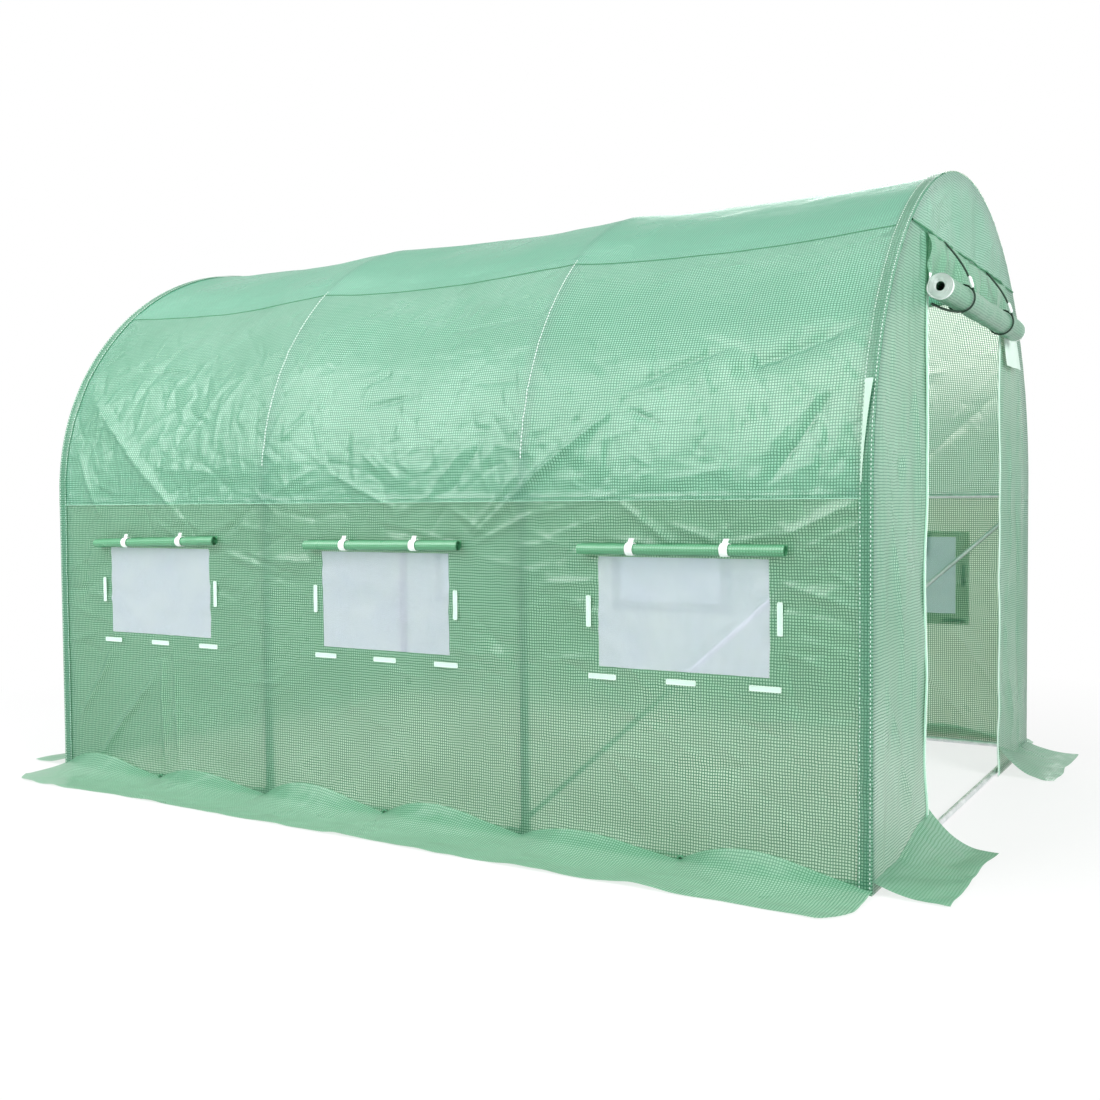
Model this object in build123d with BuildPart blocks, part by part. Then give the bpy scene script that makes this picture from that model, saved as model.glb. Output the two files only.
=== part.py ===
"""Walk-in polytunnel greenhouse: steel hoops and rails under a sewn sheet cover.

+Z is up, the door end faces -Y and the origin lies on the ground in the middle of the tunnel.
Left is the -X side. All lengths are in millimetres.
"""

import os
from math import cos, pi, radians, sin

from build123d import *

# Tunnel, measured outside the cover
WIDTH = 2000.0
LENGTH = 3000.0
HEIGHT = 1930.0
ARCH_RISE = 930.0
HAUNCH_ANGLE = 33.9

# Cover sheet and its seams
FABRIC = 2.0
SEAT_GAP = 0.3
WAIST_DROP = 30.0
ROOF_BAND_RISE = 245.0
SIDE_SKIRT_REACH = 240.0
END_SKIRT_REACH = 190.0

# Steel tube frame
HOOP_COUNT = 4
HOOP_TUBE = 25.0
RAIL_TUBE = 19.0
PURLIN_TUBE = 19.0
BRACE_TUBE = 16.0
BRACE_CLEARANCE = 22.0
BRACE_OVERHANG = 10.0

# Fittings that clip round a hoop and take the rail ends
COLLAR_WALL = 2.5
SLEEVE_WALL = 2.0
SLEEVE_LENGTH = 45.0
BASE_COLLAR_LENGTH = 36.0
COLLAR_LENGTH = 30.0
SLEEVE_FOOT_GAP = 1.2

# Side windows, one in the middle of each bay
WINDOW_WIDTH = 490.0
WINDOW_HEIGHT = 300.0
WINDOW_DROP = 160.0
MESH_THICKNESS = 1.0
ROLL_LENGTH = 590.0
ROLL_DIAMETER = 30.0
ROLL_LIFT = 22.0
FLAP_HEM = 8.0
STRAP_THICKNESS = 1.5
STRAP_WIDTH = 22.0
STRAP_SPACING = 270.0
PATCH_LENGTH = 86.0
PATCH_WIDTH = 15.0
PATCH_THICKNESS = 1.5
PATCH_MARGIN = 28.0
SILL_PATCH_SPACING = 235.0

# Doorway and its rolled-up curtain
DOOR_WIDTH = 960.0
ZIP_WIDTH = 20.0
ZIP_THICKNESS = 1.5
CURTAIN_ROLL_LENGTH = 1050.0
CURTAIN_ROLL_DIAMETER = 72.0
CURTAIN_ROLL_BORE = 26.0
CURTAIN_DROP = 155.0
TIE_THICKNESS = 3.0
TIE_WIDTH = 9.0
TIE_SPACING = 560.0

CUT_OVERRUN = 50.0

# The arch is three tangent arcs: a shoulder, the crown and the other shoulder
SPRING_HEIGHT = HEIGHT - ARCH_RISE
HAUNCH_X = cos(radians(HAUNCH_ANGLE))
HAUNCH_Z = sin(radians(HAUNCH_ANGLE))
SHOULDER_RADIUS = (ARCH_RISE * HAUNCH_X - WIDTH / 2 * (1 - HAUNCH_Z)) / (HAUNCH_X + HAUNCH_Z - 1)
SHOULDER_CENTRE = WIDTH / 2 - SHOULDER_RADIUS

# Places that follow from the sizes above
WAIST_SEAM_HEIGHT = SPRING_HEIGHT - WAIST_DROP
ROOF_SEAM_HEIGHT = HEIGHT - ROOF_BAND_RISE
HOOP_RADIUS = HOOP_TUBE / 2
HOOP_INSET = FABRIC + SEAT_GAP + HOOP_RADIUS
HOOP_X = WIDTH / 2 - HOOP_INSET
HOOP_END_Y = LENGTH / 2 - HOOP_INSET
BAY = 2 * HOOP_END_Y / (HOOP_COUNT - 1)
HOOP_YS = [-HOOP_END_Y + BAY * i for i in range(HOOP_COUNT)]
BAY_MIDDLES = [y + BAY / 2 for y in HOOP_YS[:-1]]
RIDGE_HEIGHT = HEIGHT - HOOP_INSET
RAIL_END_GAP = HOOP_RADIUS + SEAT_GAP
COLLAR_BORE = HOOP_RADIUS + SEAT_GAP
COLLAR_RADIUS = COLLAR_BORE + COLLAR_WALL
SLEEVE_BORE = RAIL_TUBE / 2 + SEAT_GAP
SLEEVE_RADIUS = SLEEVE_BORE + SLEEVE_WALL
RAIL_HEIGHT = SLEEVE_RADIUS + SLEEVE_FOOT_GAP
WINDOW_HEAD = WAIST_SEAM_HEIGHT - WINDOW_DROP
WINDOW_SILL = WINDOW_HEAD - WINDOW_HEIGHT
WINDOW_MIDDLE = (WINDOW_SILL + WINDOW_HEAD) / 2
ROLL_HEIGHT = WINDOW_HEAD + ROLL_LIFT
STRAP_BORE = ROLL_DIAMETER / 2 + SEAT_GAP
ROLL_X = WIDTH / 2 + STRAP_BORE + STRAP_THICKNESS + SEAT_GAP
CURTAIN_RADIUS = CURTAIN_ROLL_DIAMETER / 2
CURTAIN_ROLL_Y = -LENGTH / 2 - ZIP_THICKNESS - SEAT_GAP - CURTAIN_RADIUS
CURTAIN_ROLL_HEIGHT = ROOF_SEAM_HEIGHT - CURTAIN_DROP

SIDES = {"left": -1, "right": 1}
BAY_NAMES = ["front", "middle", "rear"]
HOOP_NAMES = ["hoop_front", "hoop_second", "hoop_third", "hoop_rear"]


def save(part, name):
    """Labels a finished piece and writes it as its own file."""
    part.label = name
    export_step(part, f"parts/{name}.step")


def draw_arch(inset, foot):
    """Draws the tunnel's section in the open line, from foot to foot, moved inwards by inset."""
    half = WIDTH / 2 - inset
    haunch_reach = SHOULDER_CENTRE + HAUNCH_X * (SHOULDER_RADIUS - inset)
    haunch_height = SPRING_HEIGHT + HAUNCH_Z * (SHOULDER_RADIUS - inset)
    left_leg = Line((-half, foot), (-half, SPRING_HEIGHT))
    left_shoulder = TangentArc(left_leg @ 1, (-haunch_reach, haunch_height), tangent=left_leg % 1)
    crown = TangentArc(left_shoulder @ 1, (haunch_reach, haunch_height), tangent=left_shoulder % 1)
    right_shoulder = TangentArc(crown @ 1, (half, SPRING_HEIGHT), tangent=crown % 1)
    Line(right_shoulder @ 1, (half, foot))


def arch_outline(inset, foot):
    """The closed outline of the tunnel's section, moved inwards by inset."""
    half = WIDTH / 2 - inset
    with BuildLine() as outline:
        draw_arch(inset, foot)
        Line((half, foot), (-half, foot))
    return outline.edges()


def keep_region(x_low, x_high, z_low, z_high):
    """Keeps only a rectangle of the open sketch."""
    with Locations(((x_low + x_high) / 2, (z_low + z_high) / 2)):
        Rectangle(x_high - x_low, z_high - z_low, mode=Mode.INTERSECT)


def cover_section(x_low, x_high, z_low, z_high):
    """The part of the cover's section that lies in a rectangle."""
    with BuildSketch(Plane.XZ) as section:
        make_face(arch_outline(0, 0))
        make_face(arch_outline(FABRIC, -CUT_OVERRUN), mode=Mode.SUBTRACT)
        keep_region(x_low, x_high, z_low, z_high)
    return section.sketch


def end_section(end, x_low, x_high, z_low, z_high):
    """The part of an end wall that lies in a rectangle. end is 1 at the door end and -1 at the rear."""
    with BuildSketch(Plane.XZ.offset(end * LENGTH / 2)) as section:
        make_face(arch_outline(FABRIC + SEAT_GAP, 0))
        keep_region(x_low, x_high, z_low, z_high)
    return section.sketch


def along_y(x, y, z):
    """A place whose own Z axis points along Y."""
    return Location((x, y, z), (90, 0, 0))


def along_x(x, y, z):
    """A place whose own Z axis points along X."""
    return Location((x, y, z), (0, 90, 0))


os.makedirs("parts", exist_ok=True)

# Hoops
for name, y in zip(HOOP_NAMES, HOOP_YS):
    with BuildPart() as hoop:
        with BuildLine(Plane.XZ.offset(-y)) as hoop_path:
            draw_arch(HOOP_INSET, 0)
        with BuildSketch(Plane(origin=hoop_path.line @ 0, z_dir=hoop_path.line % 0)):
            Circle(HOOP_RADIUS)
        sweep()
    save(hoop.part, name)

# Base rails: one length in each bay, and one across each end
BAY_RAIL_LENGTH = BAY - 2 * RAIL_END_GAP
END_RAIL_LENGTH = 2 * (HOOP_X - RAIL_END_GAP)
for side, sign in SIDES.items():
    with BuildPart() as side_rail:
        with Locations(*[along_y(sign * HOOP_X, y, RAIL_HEIGHT) for y in BAY_MIDDLES]):
            Cylinder(RAIL_TUBE / 2, BAY_RAIL_LENGTH)
    save(side_rail.part, f"base_rail_{side}")
for end, y in {"front": -HOOP_END_Y, "rear": HOOP_END_Y}.items():
    with BuildPart() as end_rail:
        with Locations(along_x(0, y, RAIL_HEIGHT)):
            Cylinder(RAIL_TUBE / 2, END_RAIL_LENGTH)
    save(end_rail.part, f"base_rail_{end}")

# Purlins along the waist and the ridge
PURLIN_LINES = {
    "purlin_left": (-HOOP_X, WAIST_SEAM_HEIGHT),
    "purlin_right": (HOOP_X, WAIST_SEAM_HEIGHT),
    "purlin_ridge": (0, RIDGE_HEIGHT),
}
for name, (x, z) in PURLIN_LINES.items():
    with BuildPart() as purlin:
        with Locations(*[along_y(x, y, z) for y in BAY_MIDDLES]):
            Cylinder(PURLIN_TUBE / 2, BAY_RAIL_LENGTH)
    save(purlin.part, name)

# Diagonal braces in the door bay, inside the legs
BRACE_X = HOOP_X - HOOP_RADIUS - SEAT_GAP - BRACE_TUBE / 2
BRACE_FOOT = Vector(0, HOOP_YS[1], BASE_COLLAR_LENGTH + BRACE_CLEARANCE)
BRACE_HEAD = Vector(0, HOOP_YS[0], WAIST_SEAM_HEIGHT - COLLAR_LENGTH / 2 - BRACE_CLEARANCE)
BRACE_RUN = BRACE_HEAD - BRACE_FOOT
for side, sign in SIDES.items():
    foot = BRACE_FOOT + Vector(sign * BRACE_X, 0, 0) - BRACE_RUN.normalized() * BRACE_OVERHANG
    with BuildPart() as brace:
        with BuildSketch(Plane(origin=foot, z_dir=BRACE_RUN)):
            Circle(BRACE_TUBE / 2)
        extrude(amount=BRACE_RUN.length + 2 * BRACE_OVERHANG)
    save(brace.part, f"brace_{side}")

# Fittings: a collar open towards the cover, with a sleeve for each rail end
BORE_LENGTH = SLEEVE_LENGTH + CUT_OVERRUN
INSIDE_X = HOOP_X + HOOP_RADIUS
INSIDE_Y = HOOP_END_Y + HOOP_RADIUS
INSIDE_Z = RIDGE_HEIGHT + HOOP_RADIUS
COLLAR_REACH = COLLAR_RADIUS + CUT_OVERRUN


def rail_ends(x, z, length, into_x=0):
    """Middles of the stretches of rail, of one length, that start at the hoops' skins at x and z.

    Rails run along Y from every hoop. Where into_x points inwards, end rails run along X too.
    """
    reach = HOOP_RADIUS + length / 2
    places = []
    for y in HOOP_YS:
        for way in (-1, 1):
            if abs(y + way * BAY / 2) < HOOP_END_Y:
                places.append(along_y(x, y + way * reach, z))
    if into_x:
        places += [along_x(x + into_x * reach, way * HOOP_END_Y, z) for way in (-1, 1)]
    return places


def clip_on(joints, collar_length, sleeves, bores):
    """Makes collars and their sleeves in the open part, trimmed where they would press into the cover."""
    with Locations(*joints):
        Cylinder(COLLAR_RADIUS, collar_length)
    with Locations(*sleeves):
        Cylinder(SLEEVE_RADIUS, SLEEVE_LENGTH)
    with Locations(*joints):
        Cylinder(COLLAR_BORE, collar_length, mode=Mode.SUBTRACT)
    with Locations(*bores):
        Cylinder(SLEEVE_BORE, BORE_LENGTH, mode=Mode.SUBTRACT)
    Box(2 * INSIDE_X, 2 * INSIDE_Y, 2 * INSIDE_Z, mode=Mode.INTERSECT)


def open_outer_quarter(x, y, z):
    """Cuts away the open part's collars beyond a hoop's axis, away from the rails."""
    with Locations((x, y, z)):
        Box(COLLAR_REACH, COLLAR_REACH, COLLAR_REACH, mode=Mode.SUBTRACT)


LEG_FITTINGS = {
    "base_fittings": (BASE_COLLAR_LENGTH / 2, BASE_COLLAR_LENGTH, RAIL_HEIGHT, 1),
    "waist_fittings": (WAIST_SEAM_HEIGHT, COLLAR_LENGTH, WAIST_SEAM_HEIGHT, 0),
}
for name, (collar_z, collar_length, rail_z, end_rails) in LEG_FITTINGS.items():
    leg_joints = [(sign * HOOP_X, y, collar_z) for sign in SIDES.values() for y in HOOP_YS]
    leg_sleeves = []
    leg_bores = []
    for sign in SIDES.values():
        leg_sleeves += rail_ends(sign * HOOP_X, rail_z, SLEEVE_LENGTH, -sign * end_rails)
        leg_bores += rail_ends(sign * HOOP_X, rail_z, BORE_LENGTH, -sign * end_rails)
    with BuildPart() as leg_fittings:
        clip_on(leg_joints, collar_length, leg_sleeves, leg_bores)
        for sign in SIDES.values():
            for way in (-1, 1):
                outer_x = sign * (HOOP_X + COLLAR_REACH / 2)
                outer_y = way * (HOOP_END_Y + COLLAR_REACH / 2)
                open_outer_quarter(outer_x, outer_y, collar_z)
    save(leg_fittings.part, name)

with BuildPart() as ridge_fittings:
    clip_on(
        [along_x(0, y, RIDGE_HEIGHT) for y in HOOP_YS],
        COLLAR_LENGTH,
        rail_ends(0, RIDGE_HEIGHT, SLEEVE_LENGTH),
        rail_ends(0, RIDGE_HEIGHT, BORE_LENGTH),
    )
    for way in (-1, 1):
        open_outer_quarter(0, way * (HOOP_END_Y + COLLAR_REACH / 2), RIDGE_HEIGHT + COLLAR_REACH / 2)
save(ridge_fittings.part, "ridge_fittings")

# Cover: upright side walls with their window holes, curved shoulders and the roof band
HALF = WIDTH / 2
for side, sign in SIDES.items():
    x_low, x_high = sorted((0, sign * HALF))
    with BuildPart() as side_wall:
        extrude(cover_section(x_low, x_high, FABRIC, WAIST_SEAM_HEIGHT), amount=LENGTH / 2, both=True)
        with Locations(*[(sign * HALF, y, WINDOW_MIDDLE) for y in BAY_MIDDLES]):
            Box(CUT_OVERRUN, WINDOW_WIDTH, WINDOW_HEAD - WINDOW_SILL, mode=Mode.SUBTRACT)
    save(side_wall.part, f"side_wall_{side}")
    with BuildPart() as shoulder:
        section = cover_section(x_low, x_high, WAIST_SEAM_HEIGHT, ROOF_SEAM_HEIGHT)
        extrude(section, amount=LENGTH / 2, both=True)
    save(shoulder.part, f"shoulder_{side}")
with BuildPart() as roof_band:
    extrude(cover_section(-HALF, HALF, ROOF_SEAM_HEIGHT, HEIGHT), amount=LENGTH / 2, both=True)
save(roof_band.part, "roof_band")

# End walls: a closed sheet at the rear, and two panels beside the doorway at the front
for end, facing in {"front": 1, "rear": -1}.items():
    with BuildPart() as gable:
        extrude(end_section(facing, -HALF, HALF, ROOF_SEAM_HEIGHT, HEIGHT), amount=-facing * FABRIC)
    save(gable.part, f"{end}_gable")
with BuildPart() as rear_wall:
    extrude(end_section(-1, -HALF, HALF, FABRIC, ROOF_SEAM_HEIGHT), amount=FABRIC)
save(rear_wall.part, "rear_wall")
for side, sign in SIDES.items():
    x_low, x_high = sorted((sign * DOOR_WIDTH / 2, sign * HALF))
    with BuildPart() as front_panel:
        extrude(end_section(1, x_low, x_high, FABRIC, ROOF_SEAM_HEIGHT), amount=-FABRIC)
    save(front_panel.part, f"front_panel_{side}")

# Skirts that lie on the ground outside the walls
END_SKIRT_HALF = HALF - FABRIC - SEAT_GAP
FRONT_SKIRT_LENGTH = END_SKIRT_HALF - DOOR_WIDTH / 2
FRONT_SKIRT_X = DOOR_WIDTH / 2 + FRONT_SKIRT_LENGTH / 2
END_SKIRT_Y = LENGTH / 2 - FABRIC + (END_SKIRT_REACH + FABRIC) / 2
for side, sign in SIDES.items():
    with BuildPart() as side_skirt:
        with Locations((sign * (HALF - FABRIC + (SIDE_SKIRT_REACH + FABRIC) / 2), 0, FABRIC / 2)):
            Box(SIDE_SKIRT_REACH + FABRIC, LENGTH, FABRIC)
    save(side_skirt.part, f"skirt_{side}")
    with BuildPart() as front_skirt:
        with Locations((sign * FRONT_SKIRT_X, -END_SKIRT_Y, FABRIC / 2)):
            Box(FRONT_SKIRT_LENGTH, END_SKIRT_REACH + FABRIC, FABRIC)
    save(front_skirt.part, f"skirt_front_{side}")
with BuildPart() as rear_skirt:
    with Locations((0, END_SKIRT_Y, FABRIC / 2)):
        Box(2 * END_SKIRT_HALF, END_SKIRT_REACH + FABRIC, FABRIC)
save(rear_skirt.part, "skirt_rear")

# Windows: insect mesh in each hole, a flap outside it, the flap's straps and its fastening patches.
# The left flaps are rolled up in their straps. The right ones hang closed, with loose straps over them.
STRAP_OFFSETS = [-STRAP_SPACING / 2, STRAP_SPACING / 2]
SILL_PATCH_OFFSETS = [-SILL_PATCH_SPACING, 0, SILL_PATCH_SPACING]
JAMB_PATCH_OFFSETS = [way * (WINDOW_WIDTH / 2 + PATCH_MARGIN) for way in (-1, 1)]
SILL_PATCH_HEIGHT = WINDOW_SILL - PATCH_MARGIN
FLAP_FOOT = SILL_PATCH_HEIGHT - PATCH_WIDTH / 2 - FLAP_HEM
FLAP_X = HALF + PATCH_THICKNESS + SEAT_GAP + FABRIC / 2
STRAP_X = FLAP_X + FABRIC / 2 + SEAT_GAP + STRAP_THICKNESS / 2
STRAP_LENGTH = pi * (2 * STRAP_BORE + STRAP_THICKNESS)
STRAP_YS = [y + offset for y in BAY_MIDDLES for offset in STRAP_OFFSETS]
for side, sign in SIDES.items():
    with BuildPart() as window_meshes:
        with Locations(*[(sign * (HALF - FABRIC / 2), y, WINDOW_MIDDLE) for y in BAY_MIDDLES]):
            Box(MESH_THICKNESS, WINDOW_WIDTH - 2 * SEAT_GAP, WINDOW_HEAD - WINDOW_SILL - 2 * SEAT_GAP)
    save(window_meshes.part, f"window_meshes_{side}")
    with BuildPart() as patches:
        patch_x = sign * (HALF + PATCH_THICKNESS / 2)
        sill_ys = [y + offset for y in BAY_MIDDLES for offset in SILL_PATCH_OFFSETS]
        jamb_ys = [y + offset for y in BAY_MIDDLES for offset in JAMB_PATCH_OFFSETS]
        with Locations(*[(patch_x, y, SILL_PATCH_HEIGHT) for y in sill_ys]):
            Box(PATCH_THICKNESS, PATCH_LENGTH, PATCH_WIDTH)
        with Locations(*[(patch_x, y, WINDOW_MIDDLE) for y in jamb_ys]):
            Box(PATCH_THICKNESS, PATCH_WIDTH, PATCH_LENGTH)
    save(patches.part, f"window_patches_{side}")

HUNG = (Align.CENTER, Align.CENTER, Align.MAX)
for bay, y in zip(BAY_NAMES, BAY_MIDDLES):
    with BuildPart() as window_roll:
        with Locations(along_y(-ROLL_X, y, ROLL_HEIGHT)):
            Cylinder(ROLL_DIAMETER / 2, ROLL_LENGTH)
    save(window_roll.part, f"window_roll_left_{bay}")
    with BuildPart() as window_flap:
        with Locations((FLAP_X, y, ROLL_HEIGHT)):
            Box(FABRIC, ROLL_LENGTH, ROLL_HEIGHT - FLAP_FOOT, align=HUNG)
    save(window_flap.part, f"window_flap_right_{bay}")
with BuildPart() as tied_straps:
    with Locations(*[along_y(-ROLL_X, y, ROLL_HEIGHT) for y in STRAP_YS]):
        Cylinder(STRAP_BORE + STRAP_THICKNESS, STRAP_WIDTH)
        Cylinder(STRAP_BORE, STRAP_WIDTH, mode=Mode.SUBTRACT)
save(tied_straps.part, "window_straps_left")
with BuildPart() as loose_straps:
    with Locations(*[(STRAP_X, y, ROLL_HEIGHT) for y in STRAP_YS]):
        Box(STRAP_THICKNESS, STRAP_WIDTH, STRAP_LENGTH, align=HUNG)
save(loose_straps.part, "window_straps_right")

# Doorway: a zip along each edge, and the curtain rolled up under the gable
with BuildPart() as door_zips:
    ZIP_X = DOOR_WIDTH / 2 + ZIP_WIDTH / 2
    ZIP_HEIGHT = ROOF_SEAM_HEIGHT - FABRIC
    with Locations(*[(sign * ZIP_X, -LENGTH / 2 - ZIP_THICKNESS / 2, FABRIC) for sign in SIDES.values()]):
        Box(ZIP_WIDTH, ZIP_THICKNESS, ZIP_HEIGHT, align=(Align.CENTER, Align.CENTER, Align.MIN))
save(door_zips.part, "door_zips")

CURTAIN_FRONT = -LENGTH / 2
CURTAIN_BACK = CURTAIN_FRONT + FABRIC
ROLL_BACK = CURTAIN_ROLL_Y + CURTAIN_RADIUS
with BuildPart() as door_curtain:
    with BuildSketch(Plane.YZ):
        with BuildLine():
            Polyline(
                (CURTAIN_FRONT, ROOF_SEAM_HEIGHT),
                (CURTAIN_BACK, ROOF_SEAM_HEIGHT),
                (ROLL_BACK, CURTAIN_ROLL_HEIGHT),
                (ROLL_BACK - FABRIC, CURTAIN_ROLL_HEIGHT),
                close=True,
            )
        make_face()
    extrude(amount=DOOR_WIDTH / 2, both=True)
    with Locations(along_x(0, CURTAIN_ROLL_Y, CURTAIN_ROLL_HEIGHT)):
        Cylinder(CURTAIN_RADIUS, CURTAIN_ROLL_LENGTH)
        Cylinder(CURTAIN_ROLL_BORE / 2, CURTAIN_ROLL_LENGTH, mode=Mode.SUBTRACT)
save(door_curtain.part, "door_curtain")


def tie_loop(gap, mode=Mode.ADD):
    """Fills the outline of the rolled curtain and its drop, gap away from them, in the open sketch."""
    with BuildSketch(Plane.YZ, mode=Mode.PRIVATE) as loop:
        with Locations((CURTAIN_ROLL_Y, CURTAIN_ROLL_HEIGHT)):
            Circle(CURTAIN_RADIUS + gap)
        with Locations(((CURTAIN_FRONT + CURTAIN_BACK) / 2, ROOF_SEAM_HEIGHT)):
            Circle(FABRIC / 2 + gap)
        make_hull()
    add(loop.sketch_local, mode=mode)


with BuildPart() as door_ties:
    with BuildSketch(*[Plane.YZ.offset(x) for x in (-TIE_SPACING / 2, TIE_SPACING / 2)]):
        tie_loop(SEAT_GAP + TIE_THICKNESS)
        tie_loop(SEAT_GAP, Mode.SUBTRACT)
        with Locations((CURTAIN_ROLL_Y, ROOF_SEAM_HEIGHT)):
            Rectangle(LENGTH, LENGTH, align=(Align.CENTER, Align.MAX), mode=Mode.INTERSECT)
    extrude(amount=TIE_WIDTH / 2, both=True)
save(door_ties.part, "door_ties")
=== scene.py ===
"""Looks of a walk-in polytunnel: its film cover, windows, rolled door and tube frame.

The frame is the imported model: +Z up, the door end faces -Y, the left side is -X, all in metres.
"""
import math

import bpy
import numpy as np
from mathutils import Matrix, Vector


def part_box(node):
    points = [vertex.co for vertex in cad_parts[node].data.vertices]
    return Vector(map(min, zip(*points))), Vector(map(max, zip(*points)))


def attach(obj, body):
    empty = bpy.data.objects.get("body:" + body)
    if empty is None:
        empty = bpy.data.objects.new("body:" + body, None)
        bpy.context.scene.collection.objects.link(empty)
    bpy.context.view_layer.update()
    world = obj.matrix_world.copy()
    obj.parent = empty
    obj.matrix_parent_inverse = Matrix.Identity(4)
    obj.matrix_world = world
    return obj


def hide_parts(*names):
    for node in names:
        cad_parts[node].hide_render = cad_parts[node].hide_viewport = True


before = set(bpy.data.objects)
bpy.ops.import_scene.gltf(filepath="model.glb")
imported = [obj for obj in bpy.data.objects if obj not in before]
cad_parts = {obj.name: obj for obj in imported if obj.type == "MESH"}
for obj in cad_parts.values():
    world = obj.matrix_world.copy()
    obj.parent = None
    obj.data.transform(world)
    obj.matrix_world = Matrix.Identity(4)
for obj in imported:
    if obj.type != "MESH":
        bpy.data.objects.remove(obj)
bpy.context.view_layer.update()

# Places read from the frame
HALF_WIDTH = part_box("side_wall_right")[1].x
END_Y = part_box("roof_band")[1].y
RIDGE_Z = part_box("roof_band")[1].z
ROOF_SEAM_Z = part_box("roof_band")[0].z
WAIST_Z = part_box("side_wall_left")[1].z
DOOR_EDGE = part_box("front_panel_right")[0].x
SIDE_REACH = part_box("skirt_right")[1].x - HALF_WIDTH
END_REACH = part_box("skirt_rear")[1].y - END_Y
HOOPS = ("hoop_front", "hoop_second", "hoop_third", "hoop_rear")
HOOP_Y = [sum(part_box(name), Vector()).y / 2 for name in HOOPS]
BAYS = ("front", "middle", "rear")
BAY_Y = [(a + b) / 2 for a, b in zip(HOOP_Y, HOOP_Y[1:])]
WINDOW_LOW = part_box("window_meshes_left")[0].z
WINDOW_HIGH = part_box("window_meshes_left")[1].z
ROLL_LOW, ROLL_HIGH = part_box("window_roll_left_middle")
FLAP_LOW, FLAP_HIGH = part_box("window_flap_right_middle")
CURTAIN_LOW, CURTAIN_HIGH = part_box("door_curtain")
SIDES = (("left", -1), ("right", 1))
ALONG_X, ALONG_Y, UP = (1, 0, 0), (0, 1, 0), (0, 0, 1)
OUT_OF_DOOR = (0, -1, 0)
TURN = 2 * math.pi

# The section of the cover: upright walls, two shoulder arcs and a crown arc
ARCH_RISE = 0.930
HAUNCH = math.radians(33.9)
SPRING_Z = RIDGE_Z - ARCH_RISE
ARC_TURN = math.sin(HAUNCH) + math.cos(HAUNCH) - 1
SHOULDER_R = (ARCH_RISE * math.cos(HAUNCH) - HALF_WIDTH * (1 - math.sin(HAUNCH))) / ARC_TURN
CROWN_R = (HALF_WIDTH * math.sin(HAUNCH) - ARCH_RISE * (1 - math.cos(HAUNCH))) / ARC_TURN
CROWN_T = SPRING_Z + SHOULDER_R * HAUNCH
RIDGE_T = CROWN_T + CROWN_R * (math.pi / 2 - HAUNCH)

# Film: how it hangs, and its woven grid
ARCH_SAG = 0.026
SAG_SKEW = 1.4
SAG_FULLNESS = 0.8
WALL_SAG = 0.007
TUBE_GAP = 0.0012
TUBE_REACH = 0.010
TENT_SLOPE = 0.35
SOFT_STOP = 0.0015
FOOT_BULGE = 0.013
FOOT_BULGE_HEIGHT = 0.05
FOOT_TIE_REACH = 0.12
BROAD_WAVE = 0.0045
BROAD_CELL = 0.31
SMALL_WAVE = 0.0016
SMALL_CELL = 0.09
FOLD_FADE = 0.05
LAP = 0.018
LAP_LIFT = 0.0015
GRID_PITCH = 0.0077
MESH_PITCH = 0.0026
FINE_STEP = 0.007
COARSE_STEP = 0.013
LATTICE = 64

# End walls
END_BROAD_WAVE = 0.007
END_BROAD_CELL = 0.26
END_SMALL_WAVE = 0.003
END_SMALL_CELL = 0.07
END_FADE = 0.08
GABLE_TOP_GAP = 0.001

# Hems, seams and stitches; a stitch is its pitch, length, width and height
HEM_WIDTH = 0.036
HEM_STEP = 0.012
HEM_LIFT = 2 * LAP_LIFT
HEM_ROW_INSETS = (HEM_WIDTH - 0.004, 0.006)
HEM_STITCH = (0.0115, 0.0085, 0.0027, 0.0012)
# The rows over the hoops are painted highlight: white stitches that stand for the shine of the film drawn
# tight over the hoop
HOOP_HIGHLIGHT_STITCH = (0.0115, 0.0105, 0.0056, 0.0020)
HOOP_ROW_START = 0.08
HOOP_ROW_SHIFT = 0.003
HOOP_ROW_LIFT = 0.001
WAIST_WELT, WAIST_WELT_LIFT = 0.0015, 0.0008
# The dark lines along the roof seam and under the gables are painted shadow of the lapped edges
ROOF_SHADOW_LINE, ROOF_SHADOW_LINE_LIFT = 0.0016, 0.0006
GABLE_SHADOW_LINE, GABLE_SHADOW_LINE_LIFT = 0.0026, 0.0015
THIN_SIDES = 6
STRIP_LOW, STRIP_HIGH, STRIP_STEP = 1.0, 1.25, 0.01
STRIP_INSET = 0.030
STRIP_DRIFT = 0.012
STRIP_LIFT = 0.004
STRIP_FLARE = 0.008
STRIP_EDGE = 0.0015
STRIP_THICKNESS = 0.0015
FOOT_TIE_LEVEL = 0.016
FOOT_TIE_SIZE = (0.009, 0.007)
FOOT_TIE_LIFT = 0.004

# Skirts
HUMPS = (0.058, 0.042, 0.055, 0.060, 0.046, 0.056)
SKIRT_BEND = 0.16
SKIRT_CORNER = 0.07
SKIRT_CORNER_CUT = 0.35
SKIRT_LIFT = 0.001
SKIRT_RIPPLE = 0.012
SKIRT_ROOT = 0.012
RIPPLE_CELLS = (0.16, 0.06)
REACH_CELLS = (0.35, 0.12)
SKIRT_FULL_SHARE = 0.955
SKIRT_WAVE_SHARE = 0.03
END_ROOT = 0.02
DOOR_ROOT = 0.07
DOOR_ROOT_REACH = 0.3

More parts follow.
